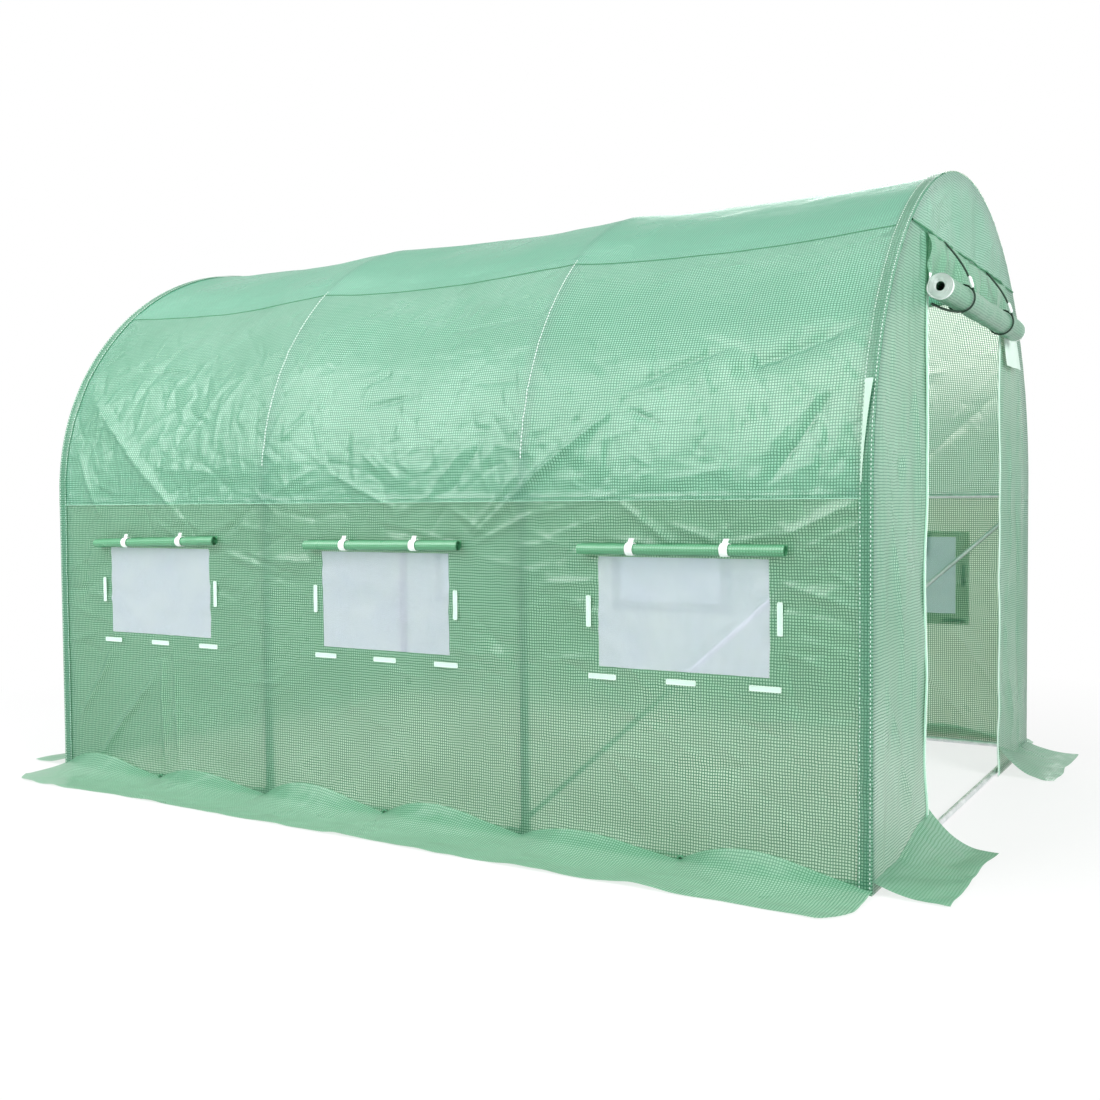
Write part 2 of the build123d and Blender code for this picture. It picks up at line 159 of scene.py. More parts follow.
# Windows
WINDOW_WIDTH = 0.490
NET_STEP = 0.02
NET_DEPTH = 0.0005
ROLL_TILT = {"front": 0.004, "middle": 0.008, "rear": 0.024}
ROLL_BORE = 0.003
ROLL_GAP = 0.00194
ROLL_SLACK = 0.0006
ROLL_CELLS = (0.10, 0.03)
SPIRAL_STEPS = 26
SHEET_STEP = 0.012
FLAP_GAP = 0.0022
FLAP_SWAY = 0.003
FLAP_CELL = 0.12
STRAP_WIDTH = 0.022
STRAP_OFFSET = 0.135
STRAP_THICKNESS = 0.0012
STRAP_GAP = 0.0085
STRAP_CURL, STRAP_CURL_RATE = 0.002, 40
STRAP_LEAN = 0.02
LOOP_GAP = 0.0008
LOOP_THICKNESS = 0.0015
LOOP_ARC = (0.15, TURN - 0.4)
TAIL_RISE = 0.014
TAIL_OUT = 0.004
TAIL_LIFT = 0.0005
TAIL_LEAN = 0.45
PATCH_LENGTH = 0.086
PATCH_WIDTH = 0.015
PATCH_CORNER = 0.003
PATCH_MARGIN = 0.028
PATCH_GAP = 0.0012
SEAT_STEP = 0.0035
SILL_PATCH_OFFSET = 0.235
# Inset and height of each ring of a patch, from its foot over its rim to its sunk middle
PATCH_RINGS = ((0.0, 0.0), (0.0, 0.0012), (0.0006, 0.0016), (0.0022, 0.0016), (0.0028, 0.0010))

# Door
CURTAIN_RADIUS = 0.036
CURTAIN_BORE = 0.026
CURTAIN_GAP = 0.0024
CURTAIN_EDGE = 0.014
CURTAIN_STEP = 0.009
CURTAIN_SLACK = 0.0016
CURTAIN_GATHER = 0.10
CURTAIN_CELLS = (0.10, 0.025)
GATHER_CELL = 0.04
END_RINGS, END_TURN_POINTS = 15, 37
END_RIM = 0.0008
END_DEPTH, END_GROOVE = 0.002, 0.0012
DOOR_TIE_OFFSET = 0.280
TIE_LEAN = 0.05
TIE_BOW = 0.012
TIE_MEET = math.radians(20)
SPARE_BOW, SPARE_SHIFT, SPARE_OUT = 0.03, 0.01, 0.006
TIE_TAIL = 0.20
TIE_TAIL_SAG = 0.006
TIE_TAIL_OUT = 0.004
TIE_TAIL_WIDTH, TIE_TAIL_THICKNESS = 0.007, 0.0015
CORD_RADIUS = 0.0028
TOGGLE_LENGTH = 0.036
TOGGLE_RADIUS = 0.0062
DOOR_SWAY = {-1: 0.006, 1: 0.024}
DOOR_SHIFT = {-1: 0.020, 1: -0.030}
DOOR_SWAY_CELL = 0.22
DOOR_SWAY_START = 0.2
ZIP_WIDTH = 0.020
ZIP_FOOT = 0.004
ZIP_GAP = 0.0015
ZIP_THICKNESS = 0.0010
ZIP_BEAD = 0.0024
ZIP_TEETH_INSET, ZIP_TEETH_OUT = 0.007, 0.0012
ZIP_TOOTH = (0.006, 0.004, 0.004, 0.0016)
LABEL_WIDTH = 0.20
LABEL_HEIGHT = 0.118
LABEL_TOP = 1.53
LABEL_INSET = 0.016
LABEL_STEP = 0.01
LABEL_GAP = 0.006
LABEL_SWING = 0.012
LABEL_TWIST = 0.05
LABEL_WAVE, LABEL_WAVE_RATE = 0.003, 30

# Seeds of the seeded noise
BROAD_SEED, SMALL_SEED = 1, 2
END_SEEDS = {"front_gable": 20, "rear_gable": 22, "rear_wall": 24}
END_SEEDS.update({"front_panel_left": 26, "front_panel_right": 28})
FLAP_SEED = 30
SIDE_REACH_SEED, SIDE_RIPPLE_SEED = 40, 50
END_REACH_SEED, END_RIPPLE_SEED = 60, 70
ROLL_SEED = 80
CURTAIN_SEED, CREASE_SEED, GATHER_SEED = 90, 91, 92
DOOR_SWAY_SEED = 97

# Camera: where the picture was taken from
CAMERA_PLACE = Vector((-3.898, -2.354, 0.957))
CAMERA_YAW = math.radians(58.74)
CAMERA_PITCH = math.radians(2.23)
CAMERA_ROLL = math.radians(0.45)
CAMERA_LENS = 40.0
SENSOR = 36.0

# Studio: lamps as place, target, size and power, and how near the floor's shadow stays
LAMPS = {
    "overhead": ((-1.2, 1.6, 4.8), (-1.2, 1.6, 0.0), (4.0, 6.5), 105.0),
    "left_side": ((-3.9, 2.1, 3.4), (-0.6, 1.6, 1.0), (5.0, 3.4), 212.0),
    "right_side": ((5.0, 0.6, 3.0), (0, 0, 0.9), (3.0, 3.0), 125.0),
    "front_fill": ((-2.2, -5.4, 3.2), (-0.3, -1.2, 1.1), (2.4, 2.4), 255.0),
}
AMBIENT = 0.22
FLOOR_HALF = 30.0
FLOOR_DROP = 0.0005
FLOOR_GREY = (0.88, 0.88, 0.88, 1)
SHADOW_NEAR, SHADOW_FAR, SHADOW_SHARE = 1.8, 3.4, 0.74
WHITE = (1, 1, 1, 1)

# Folds of the film on the left side: y and height of both ends, how high it stands, how wide it is
FOLDS = (
    (1.44, 1.38, 0.85, 0.90, 0.007, 0.030),
    (1.42, 1.17, 1.27, 0.90, 0.004, 0.022),
    (1.24, 1.45, 0.96, 1.43, -0.004, 0.012),
    (0.89, 1.28, 0.77, 1.23, -0.004, 0.010),
    (0.99, 1.08, 0.71, 1.07, 0.003, 0.018),
    (0.52, 0.96, 0.68, 0.85, -0.004, 0.012),
    (0.67, 0.80, 0.48, 0.75, 0.004, 0.014),
    (0.46, 0.78, 0.25, 0.77, 0.006, 0.022),
    (0.14, 1.32, 0.03, 1.37, -0.004, 0.010),
    (0.12, 1.25, -0.10, 1.29, -0.005, 0.012),
    (0.43, 1.16, 0.30, 1.26, 0.004, 0.016),
    (0.22, 1.06, -0.06, 0.94, 0.005, 0.009),
    (0.09, 1.12, 0.00, 1.05, 0.003, 0.010),
    (-0.38, 1.17, -0.17, 0.86, -0.005, 0.016),
    (-0.50, 1.05, -0.31, 0.86, 0.005, 0.012),
    (-0.62, 1.09, -0.31, 0.84, 0.006, 0.012),
    (-0.55, 0.93, -0.32, 0.83, 0.004, 0.010),
    (-0.28, 1.31, -0.47, 1.31, -0.003, 0.012),
    (-0.10, 1.49, -0.47, 1.51, -0.003, 0.014),
    (-0.82, 1.27, -1.12, 1.38, -0.006, 0.014),
    (-1.11, 1.29, -1.43, 1.40, -0.010, 0.040),
    (-0.78, 1.24, -0.96, 1.28, 0.004, 0.012),
    (-0.82, 1.21, -0.95, 1.15, -0.004, 0.012),
    (-0.50, 1.00, -0.80, 1.22, 0.007, 0.016),
    (-1.23, 0.99, -1.39, 1.23, -0.007, 0.022),
    (-0.81, 0.96, -0.98, 0.84, 0.006, 0.012),
    (-0.95, 0.90, -1.11, 0.85, 0.004, 0.012),
    (-1.26, 0.86, -1.48, 0.96, 0.006, 0.014),
    (-1.29, 0.82, -1.47, 0.90, 0.004, 0.012),
    (-1.26, 0.75, -1.47, 0.69, 0.005, 0.012),
    (-0.56, 0.73, -0.74, 0.74, 0.005, 0.020),
    (-0.56, 0.52, -0.74, 0.53, 0.004, 0.020),
    (1.22, 0.45, 1.42, 0.18, 0.005, 0.014),
    (0.99, 0.39, 1.31, 0.06, 0.006, 0.016),
    (0.98, 0.46, 0.97, 0.05, 0.005, 0.012),
    (0.92, 0.45, 0.90, 0.07, 0.004, 0.012),
    (0.13, 0.51, 0.13, 0.28, 0.003, 0.012),
)
FOLD_GAIN = 2.0
FOLD_SHARPNESS = 0.7

# Folds of both end walls: x and height of each end, how high it stands, how wide it is
END_FOLDS = (
    ((-0.60, 1.70), (-0.22, 1.86), 0.010, 0.016),
    ((-0.42, 1.69), (-0.12, 1.80), -0.008, 0.014),
    ((0.10, 1.71), (0.38, 1.83), 0.008, 0.016),
    ((0.30, 1.69), (0.58, 1.77), -0.007, 0.014),
    ((-0.93, 1.15), (-0.70, 0.45), 0.010, 0.020),
    ((-0.62, 1.40), (-0.56, 0.70), 0.008, 0.014),
    ((-0.80, 1.00), (-0.60, 1.25), -0.008, 0.016),
    ((-0.90, 0.50), (-0.62, 0.12), 0.009, 0.018),
    ((0.62, 1.30), (0.58, 0.40), 0.010, 0.018),
    ((0.78, 1.10), (0.86, 0.20), -0.010, 0.022),
    ((0.54, 0.60), (0.72, 0.10), 0.008, 0.016),
)


def arc_at(z):
    """Arc length from the foot of the cover up to height z, on one side."""
    rise = z - SPRING_Z
    if rise <= 0:
        return z
    if rise <= SHOULDER_R * math.sin(HAUNCH):
        return SPRING_Z + SHOULDER_R * math.asin(rise / SHOULDER_R)
    return CROWN_T + CROWN_R * (math.asin(1 - (RIDGE_Z - z) / CROWN_R) - HAUNCH)


def section(t):
    """Points and outward normals of the cover at arc lengths t, from the left foot to the right."""
    right = t > RIDGE_T
    s = np.where(right, 2 * RIDGE_T - t, t)
    on_crown = s > CROWN_T
    shoulder = np.clip((s - SPRING_Z) / SHOULDER_R, 0, HAUNCH)
    crown = HAUNCH + np.clip((s - CROWN_T) / CROWN_R, 0, math.pi / 2 - HAUNCH)
    angle = np.where(on_crown, crown, shoulder)
    across, up = np.cos(angle), np.sin(angle)
    x = np.where(on_crown, CROWN_R * across, HALF_WIDTH - SHOULDER_R * (1 - across))
    z = np.where(on_crown, RIDGE_Z - CROWN_R * (1 - up), np.minimum(s, SPRING_Z) + SHOULDER_R * up)
    side = np.where(right, 1.0, -1.0)
    return side * x, z, side * across, up


ROOF_SEAM_T = arc_at(ROOF_SEAM_Z)
PROFILE_X, PROFILE_Z = [np.abs(a) for a in section(np.linspace(0, RIDGE_T, 500))[:2]]

# Strewn folds: seed, count, levels, length, height, width, and the middle and spread of their slant
STREWN_FOLDS = (
    (11, 130, (0.05, 0.90, ROOF_SEAM_T), (0.08, 0.42), (0.0014, 0.0046), (0.004, 0.013), 0.0, 0.8),
    (12, 640, (0.80, 1.20, ROOF_SEAM_T), (0.03, 0.14), (0.0010, 0.0030), (0.004, 0.008), 0.0, 0.8),
    (13, 170, (0.25, 0.80, 0.97), (0.06, 0.30), (0.0018, 0.0048), (0.005, 0.010), 0.0, 0.35),
    (14, 260, (0.85, 1.05, 1.45), (0.06, 0.24), (0.0016, 0.0040), (0.004, 0.009), 1.57, 0.5),
)


def half_width_at(z):
    """Half the width of the section at height z."""
    return np.interp(z, PROFILE_Z, PROFILE_X)


def noise(u, v, cell, seed):
    """Smooth noise from -1 to 1, with bumps about one cell wide."""
    lattice = np.random.default_rng(seed).uniform(-1, 1, (LATTICE, LATTICE))
    a, b = np.asarray(u) / cell, np.asarray(v) / cell
    i, j = np.floor(a).astype(int), np.floor(b).astype(int)
    fa, fb = a - i, b - j
    fa, fb = fa * fa * (3 - 2 * fa), fb * fb * (3 - 2 * fb)
    i, j, i1, j1 = i % LATTICE, j % LATTICE, (i + 1) % LATTICE, (j + 1) % LATTICE
    low = lattice[i, j] * (1 - fa) + lattice[i1, j] * fa
    high = lattice[i, j1] * (1 - fa) + lattice[i1, j1] * fa
    return low * (1 - fb) + high * fb


def between_hoops(y):
    """1 midway between two hoops and 0 at each of them."""
    bay = np.interp(y, HOOP_Y, range(len(HOOP_Y)))
    share = bay - np.floor(bay)
    return 4 * share * (1 - share)


def fold_height(u, v, start, end, height, width):
    """A fold that runs from start to end, pointed across and tapered to its ends."""
    along = np.subtract(end, start)
    length = np.hypot(*along)
    du, dv = u - start[0], v - start[1]
    share = (du * along[0] + dv * along[1]) / length**2
    across = np.abs(du * along[1] - dv * along[0]) / length
    taper = np.clip(1 - np.abs(2 * share - 1) ** 3, 0, 1)
    return height * taper * np.exp(-across / width)


def strewn_folds(seed, count, levels, reach, stand, spread, lean, sway):
    """Folds strewn over one side, densest at the middle level: both ends, height and width."""
    draw = np.random.default_rng(seed)
    folds = []
    for _ in range(count):
        y, s = draw.uniform(-END_Y, END_Y), draw.triangular(*levels)
        slant = draw.normal(lean, sway)
        half = draw.uniform(*reach) / 2
        height = draw.choice((-1, 1)) * draw.uniform(*stand)
        step = (half * math.cos(slant), half * math.sin(slant))
        ends = ((y - step[0], s - step[1]), (y + step[0], s + step[1]))
        folds.append((*ends, height, draw.uniform(*spread)))
    return folds


ALL_FOLDS = []
for y0, z0, y1, z1, fold_stand, fold_width in FOLDS:
    fold_ends = ((y0, arc_at(z0)), (y1, arc_at(z1)))
    ALL_FOLDS.append((*fold_ends, FOLD_GAIN * fold_stand, FOLD_SHARPNESS * fold_width))
for group in STREWN_FOLDS:
    ALL_FOLDS += strewn_folds(*group)


def tube_distance(y, s):
    """How far places on the cover are from the nearest hoop or purlin under it."""
    lines_near = [np.abs(s - WAIST_Z), np.abs(s - RIDGE_T)]
    lines_near += [np.abs(y - place) for place in HOOP_Y]
    return np.min(np.broadcast_arrays(*lines_near), axis=0)


def foot_bulge(y, s):
    """How far the film bellies out at its foot, between the places where it is tied down."""
    tied = np.min([np.abs(y - place) for place in (*HOOP_Y, *BAY_Y)], axis=0)
    return FOOT_BULGE * np.minimum(1, tied / FOOT_TIE_REACH) * np.exp(-((s / FOOT_BULGE_HEIGHT) ** 2))


def cover_lift(y, t):
    """How far the film stands out from its outline; it never reaches the tubes under it."""
    s = np.minimum(t, 2 * RIDGE_T - t)
    free = between_hoops(y)
    arch = np.clip((s - SPRING_Z) / (RIDGE_T - SPRING_Z), 0, 1)
    wall = np.clip(s / SPRING_Z, 0, 1)
    lift = -ARCH_SAG * free * np.maximum(np.sin(math.pi * arch**SAG_SKEW), 0) ** SAG_FULLNESS
    lift = lift - WALL_SAG * free * np.sin(math.pi * wall)
    waves = BROAD_WAVE * noise(y, t, BROAD_CELL, BROAD_SEED)
    waves = waves + SMALL_WAVE * noise(y, t, SMALL_CELL, SMALL_SEED)
    lift = lift + np.minimum(1, 3 * free) * waves
    fold_y = np.where(t > RIDGE_T, -y, y)
    folds = 0.0
    for fold in ALL_FOLDS:
        folds = folds + fold_height(fold_y, s, *fold)
    lift = lift + folds * np.clip((END_Y - np.abs(y)) / FOLD_FADE, 0, 1)
    deepest = TUBE_GAP + TENT_SLOPE * np.maximum(tube_distance(y, s) - TUBE_REACH, 0)
    eased = SOFT_STOP * np.logaddexp(0, (lift + deepest) / SOFT_STOP)
    return eased - deepest + foot_bulge(y, s)


def on_cover(y, t, out=0.0):
    """Points on the film, or out from it, at places along and round the tunnel."""
    x, z, nx, nz = section(t)
    lift = cover_lift(y, t) + out
    return x + nx * lift, y, z + nz * lift


def round_t(side, s):
    """The arc length round the section, from one along that side."""
    return s if side < 0 else 2 * RIDGE_T - s


def xyz(x, y, z):
    """Points from their places on the three axes."""
    return np.stack(np.broadcast_arrays(x, y, z), -1)


def cover_line(y, t, out):
    """A line of points on the cover, and the normals there."""
    y, t = np.broadcast_arrays(np.asarray(y, float), np.asarray(t, float))
    across, up = section(t)[2:]
    return xyz(*on_cover(y, t, out)), xyz(across, 0.0, up)


def lines(step, *stops):
    """Grid lines through every stop, about one step apart."""
    spans = [np.linspace(a, b, max(1, round((b - a) / step)) + 1)[:-1] for a, b in zip(stops, stops[1:])]
    return np.append(np.concatenate(spans), stops[-1])


def add_piece(name, points, faces, materials, uvs=None, smooth=True):
    """A mesh object from points and faces; uvs gives each point's place on the flat cloth."""
    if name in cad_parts:
        name = f"{name}_cloth"
    mesh = bpy.data.meshes.new(name)
    mesh.from_pydata(np.asarray(points).tolist(), [], faces if isinstance(faces, list) else faces.tolist())
    if uvs is not None:
        corners = np.empty(len(mesh.loops), np.int32)
        mesh.loops.foreach_get("vertex_index", corners)
        layer = mesh.uv_layers.new(name="flat")
        layer.data.foreach_set("uv", np.asarray(uvs, np.float32)[corners].ravel())
    mesh.polygons.foreach_set("use_smooth", np.full(len(mesh.polygons), smooth))
    for material in materials:
        mesh.materials.append(material)
    piece = bpy.data.objects.new(name, mesh)
    bpy.context.scene.collection.objects.link(piece)
    return piece


def grid_faces(rows, columns):
    """The quads of a grid of points."""
    index = np.arange(rows * columns).reshape(rows, columns)
    corners = (index[:-1, :-1], index[1:, :-1], index[1:, 1:], index[:-1, 1:])
    return np.stack(corners, -1).reshape(-1, 4)


def ring_faces(rings, count):
    """The quads between closed rings of points, one after another."""
    index = np.arange(rings * count).reshape(rings, count)
    around = np.roll(index, -1, 1)
    return np.stack([index[:-1], around[:-1], around[1:], index[1:]], -1).reshape(-1, 4)


def add_sheet(name, u, v, place, material, skip=None):
    """One cloth surface: place(u, v) gives x, y, z and the flat u, v of each grid point."""
    grid_u, grid_v = np.meshgrid(u, v, indexing="ij")
    placed = [np.broadcast_to(a, grid_u.shape).ravel() for a in place(grid_u, grid_v)]
    points, uvs = np.stack(placed[:3], -1), np.stack(placed[3:], -1)
    faces = grid_faces(*grid_u.shape)
    if skip is not None:
        middle_u = grid_u.ravel()[faces].mean(1)
        middle_v = grid_v.ravel()[faces].mean(1)
        faces = faces[~skip(middle_u, middle_v)]
        used, faces = np.unique(faces, return_inverse=True)
        points, uvs, faces = points[used], uvs[used], faces.reshape(-1, 4)
    return add_piece(name, points, faces, [material], uvs)


def ribbon(path, normals, along, width, thickness):
    """A closed band: points path in a plane, thick along normals, wide along an axis."""
    path, normals, along = (np.asarray(a, float) for a in (path, normals, along))
    ring = []
    for face, edge in ((0, -1), (0, 1), (1, 1), (1, -1)):
        ring.append(path + normals * thickness * face + along * edge * width / 2)
    points = np.stack(ring, 1).reshape(-1, 3)
    index = np.arange(4 * len(path)).reshape(-1, 4)
    faces = [np.stack([index[:-1, a], index[1:, a], index[1:, b], index[:-1, b]], -1)
             for a, b in ((0, 1), (1, 2), (2, 3), (3, 0))]
    caps = [index[0][::-1][None], index[-1][None]]
    return points, np.concatenate(faces + caps)


def tube(path, radius, reference, sides=8):
    """A round cord along a path; reference is any direction across the path."""
    path = np.asarray(path, float)
    ahead = np.gradient(path, axis=0)
    ahead /= np.linalg.norm(ahead, axis=1, keepdims=True)
    across = np.cross(ahead, reference)
    across /= np.linalg.norm(across, axis=1, keepdims=True)
    other = np.cross(ahead, across)
    angles = np.linspace(0, TURN, sides, endpoint=False)[None, :, None]
    radius = np.broadcast_to(radius, len(path))[:, None, None]
    rings = path[:, None] + radius * (np.cos(angles) * across[:, None] + np.sin(angles) * other[:, None])
    return rings.reshape(-1, 3), ring_faces(len(path), sides)


def stitches(path, normals, pitch, length, width, height):
    """A row of stitches along a path: small pointed beads that stand on the cloth."""
    path = np.asarray(path, float)
    normals = np.broadcast_to(np.asarray(normals, float), path.shape)
    run = np.append(0, np.cumsum(np.linalg.norm(np.diff(path, axis=0), axis=1)))
    places = np.arange(pitch / 2, run[-1], pitch)

    def at(values, where):
        return np.stack([np.interp(where, run, values[:, k]) for k in range(3)], -1)
    middle, normal = at(path, places), at(normals, places)
    ahead = at(path, places + length / 2) - at(path, places - length / 2)
    side = np.cross(ahead, normal)
    side *= width / 2 / np.linalg.norm(side, axis=1, keepdims=True)
    corners = [middle - ahead / 2, middle + side, middle + ahead / 2, middle - side]
    corners.append(middle + height * normal)
    first = 5 * np.arange(len(places))[:, None]
    faces = [first + np.array(face) for face in ((0, 1, 4), (1, 2, 4), (2, 3, 4), (3, 0, 4))]
    return np.stack(corners, 1).reshape(-1, 3), np.concatenate(faces)


def join_parts(parts):
    """Points and faces of several parts as one mesh."""
    points, faces, start = [], [], 0
    for part_points, part_faces in parts:
        points.append(part_points)
        faces.append(np.asarray(part_faces) + start)
        start += len(part_points)
    return np.concatenate(points), np.concatenate(faces)


def settle(piece, slot, *nodes):
    """Tie a piece to the body and hide the nodes it stands for; slot is not used."""
    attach(piece, "root")
    if nodes:
        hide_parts(*nodes)
    return piece


def add_trim(name, parts, material, slot, *nodes, smooth=False):
    """Small parts joined into one piece, and settled."""
    piece = add_piece(name, *join_parts(parts), [material], smooth=smooth)
    return settle(piece, slot, *nodes)


class Tree:
    """The nodes of a material or a world, with short calls that add and link them."""

    def __init__(self, owner):
        owner.use_nodes = True
        self.owner = owner
        self.nodes = owner.node_tree.nodes
        self.links = owner.node_tree.links
        self.nodes.clear()

    def add(self, kind, out=0, inputs=(), **settings):
        """A new shader node with its inputs linked or set; gives one of its outputs."""
        node = self.nodes.new(f"ShaderNode{kind}")
        for key, value in settings.items():
            setattr(node, key, value)
        for key, value in dict(inputs).items():
            socket = node.inputs[key]
            if isinstance(value, bpy.types.NodeSocket):
                self.links.new(value, socket)
            else:
                socket.default_value = value
        return node.outputs[out]

    def math(self, operation, a, b=0.0):
        return self.add("Math", inputs={0: a, 1: b}, operation=operation)

    def spread(self, value, low, high, to_low=0.0, to_high=1.0, smooth=False):
        """Map a value from one range to another, clamped."""
        kind = "SMOOTHSTEP" if smooth else "LINEAR"
        names = ("Value", "From Min", "From Max", "To Min", "To Max")
        inputs = dict(zip(names, (value, low, high, to_low, to_high)))
        return self.add("MapRange", inputs=inputs, interpolation_type=kind)

    def noise(self, place, scale, detail=3.0, roughness=0.55):
        inputs = {"Vector": place, "Scale": scale, "Detail": detail, "Roughness": roughness}
        return self.add("TexNoise", inputs=inputs)

    def mix(self, share, a, b, blend="MIX"):
        """Mix two colours."""
        inputs = {0: share, 6: a, 7: b}
        return self.add("Mix", out=2, inputs=inputs, data_type="RGBA", blend_type=blend)

    def blend(self, share, a, b):
        """Mix two shaders."""
        return self.add("MixShader", inputs={0: share, 1: a, 2: b})

    def bump(self, height, strength, distance, normal=None):
        inputs = {"Height": height, "Strength": strength, "Distance": distance}
        if normal is not None:
            inputs["Normal"] = normal
        return self.add("Bump", inputs=inputs)

    def seen_directly(self):
        """1 for rays from the camera, off gloss and through glass."""
        paths = self.add("LightPath").node.outputs
        shown = self.math("MAXIMUM", paths["Is Camera Ray"], paths["Is Glossy Ray"])
        return self.math("MAXIMUM", shown, paths["Is Transmission Ray"])

    def finish(self, shader, kind="Material"):
        """Show a shader on the surface; gives the material or world."""
        output = self.nodes.new(f"ShaderNodeOutput{kind}")
        self.links.new(shader, output.inputs["Surface"])
        return self.owner


def material_tree(name):
    """The empty tree of a new material."""
    return Tree(bpy.data.materials.new(name))


def srgb(red, green, blue):
    """A linear colour from its 0 to 255 screen values."""
    values = [c / 255 for c in (red, green, blue)]
    linear = [c / 12.92 if c <= 0.04045 else ((c + 0.055) / 1.055) ** 2.4 for c in values]
    return (*linear, 1.0)


def woven_grid(tree, place, pitch, width, soft):
    """1 on the threads of a square weave and 0 in its cells."""
    parts = tree.add("SeparateXYZ", inputs={0: place}).node.outputs
    edge = (1 - width) / 2
    threads = []
    for axis in (0, 1):
        turns = tree.math("FRACT", tree.math("DIVIDE", parts[axis], pitch))
        off = tree.math("ABSOLUTE", tree.math("SUBTRACT", turns, 0.5))
        threads.append(tree.spread(off, edge - soft, edge + soft, smooth=True))
    return tree.math("MAXIMUM", *threads)


CLEAR = (1.0, 0.95, 0.89, 1.0)
WALL_CLEAR = (1.0, 0.93, 0.81, 1.0)
WARM = (1.0, 0.96, 0.91, 1.0)


def film_material(name, cell, thread, see_through=0.36, thread_see=0.03, dents=0.45, glow=0.45, tint=CLEAR):
    """Reinforced film: a woven grid in a glossy, dented sheet that lets a blurred light through."""
    tree = material_tree(name)
    place = tree.add("TexCoord", out=2)
    sway = tree.spread(tree.noise(place, 22.0, 1.0), 0.0, 1.0, -0.003, 0.003)
    swayed = tree.add("VectorMath", 0, {0: place, 1: sway}, operation="ADD")
    grid = woven_grid(tree, swayed, GRID_PITCH, 0.38, 0.12)
    patches = tree.noise(place, 2.6, 2.0)
    cloudy = tree.mix(tree.spread(patches, 0.35, 0.70, 0.0, 0.25), cell, thread)
    colour = tree.mix(grid, cloudy, thread)
    dented = tree.bump(tree.noise(place, 7.5, 2.0), dents, 0.022)
    normal = tree.bump(grid, 0.15, 0.0004, dented)
    rough = tree.spread(patches, 0.3, 0.7, 0.24, 0.38)
    gloss = {"Base Color": colour, "Roughness": rough, "Normal": normal, "Specular IOR Level": 1.0}
    skin = tree.add("BsdfPrincipled", inputs=gloss)
    warmer = tree.mix(1.0, colour, WARM, "MULTIPLY")
    lit = tree.add("BsdfTranslucent", inputs={"Color": warmer, "Normal": normal})
    body = tree.blend(tree.spread(grid, 0.0, 1.0, glow, 0.6 * glow), skin, lit)
    clear = tree.add("BsdfTransparent", inputs={"Color": tint})
    hazy = {"Color": tint, "Roughness": 0.60, "IOR": 1.16}
    window = tree.blend(0.80, clear, tree.add("BsdfRefraction", inputs=hazy))
    cover = tree.spread(grid, 0.0, 1.0, 1 - see_through, 1 - thread_see)
    return tree.finish(tree.blend(cover, window, body))


def mesh_material(name):
    """Fine insect mesh: pale threads with open holes between them."""
    tree = material_tree(name)
    place = tree.add("TexCoord", out=2)
    grid = woven_grid(tree, place, MESH_PITCH, 0.44, 0.16)
    tint = tree.noise(place, 9.0)
    colour = tree.mix(tree.spread(tint, 0.3, 0.7), srgb(226, 230, 250), srgb(234, 238, 252))
    normal = tree.bump(grid, 0.4, 0.0005)
    inputs = {"Base Color": colour, "Roughness": 0.6, "Normal": normal}
    thread = tree.add("BsdfPrincipled", inputs=inputs)
    lit = tree.add("BsdfTranslucent", inputs={"Color": colour})
    clear = tree.add("BsdfTransparent", inputs={"Color": WHITE})
    cover = tree.spread(grid, 0.0, 1.0, 0.28, 0.92)
    return tree.finish(tree.blend(cover, clear, tree.blend(0.45, thread, lit)))


def cloth_material(name, low, high, scale=900.0, rough=0.75):
    """Woven tape or cord: fine ribs and a slight change of colour."""
    tree = material_tree(name)
    place = tree.add("TexCoord", out=3)
    ribs = tree.add("TexWave", inputs={"Vector": place, "Scale": scale / 6.3, "Distortion": 1.5})
    colour = tree.mix(tree.noise(place, 60.0, 4.0), low, high)
    normal = tree.bump(ribs, 0.35, 0.0004)
    inputs = {"Base Color": colour, "Roughness": rough, "Normal": normal}
    return tree.finish(tree.add("BsdfPrincipled", inputs=inputs))


def steel_material(name, low, high, rough):
    """Galvanised tube: mottled grey metal with fine scratches."""
    tree = material_tree(name)
    place = tree.add("TexCoord", out=3)
    mottle = tree.noise(place, 34.0, 5.0, 0.65)
    scratch = tree.noise(place, 420.0, 2.0)
    colour = tree.mix(tree.spread(mottle, 0.35, 0.65), low, high)
    shine = tree.spread(mottle, 0.3, 0.7, rough - 0.08, rough + 0.12)
    normal = tree.bump(scratch, 0.08, 0.0004)
    inputs = {"Base Color": colour, "Metallic": 0.85, "Roughness": shine, "Normal": normal}
    return tree.finish(tree.add("BsdfPrincipled", inputs=inputs))


FILM = film_material("film", srgb(181, 246, 221), srgb(64, 140, 105))
# The walls get a darker, warmer copy of the same film: painted shade
SHADED_WALL_FILM = film_material("shaded_wall_film", srgb(180, 235, 207), srgb(63, 131, 95), tint=WALL_CLEAR)
# The end walls get a paler copy of the same film: painted sheen
LIT_END_FILM = film_material("lit_end_film", srgb(206, 248, 230), srgb(80, 142, 112))
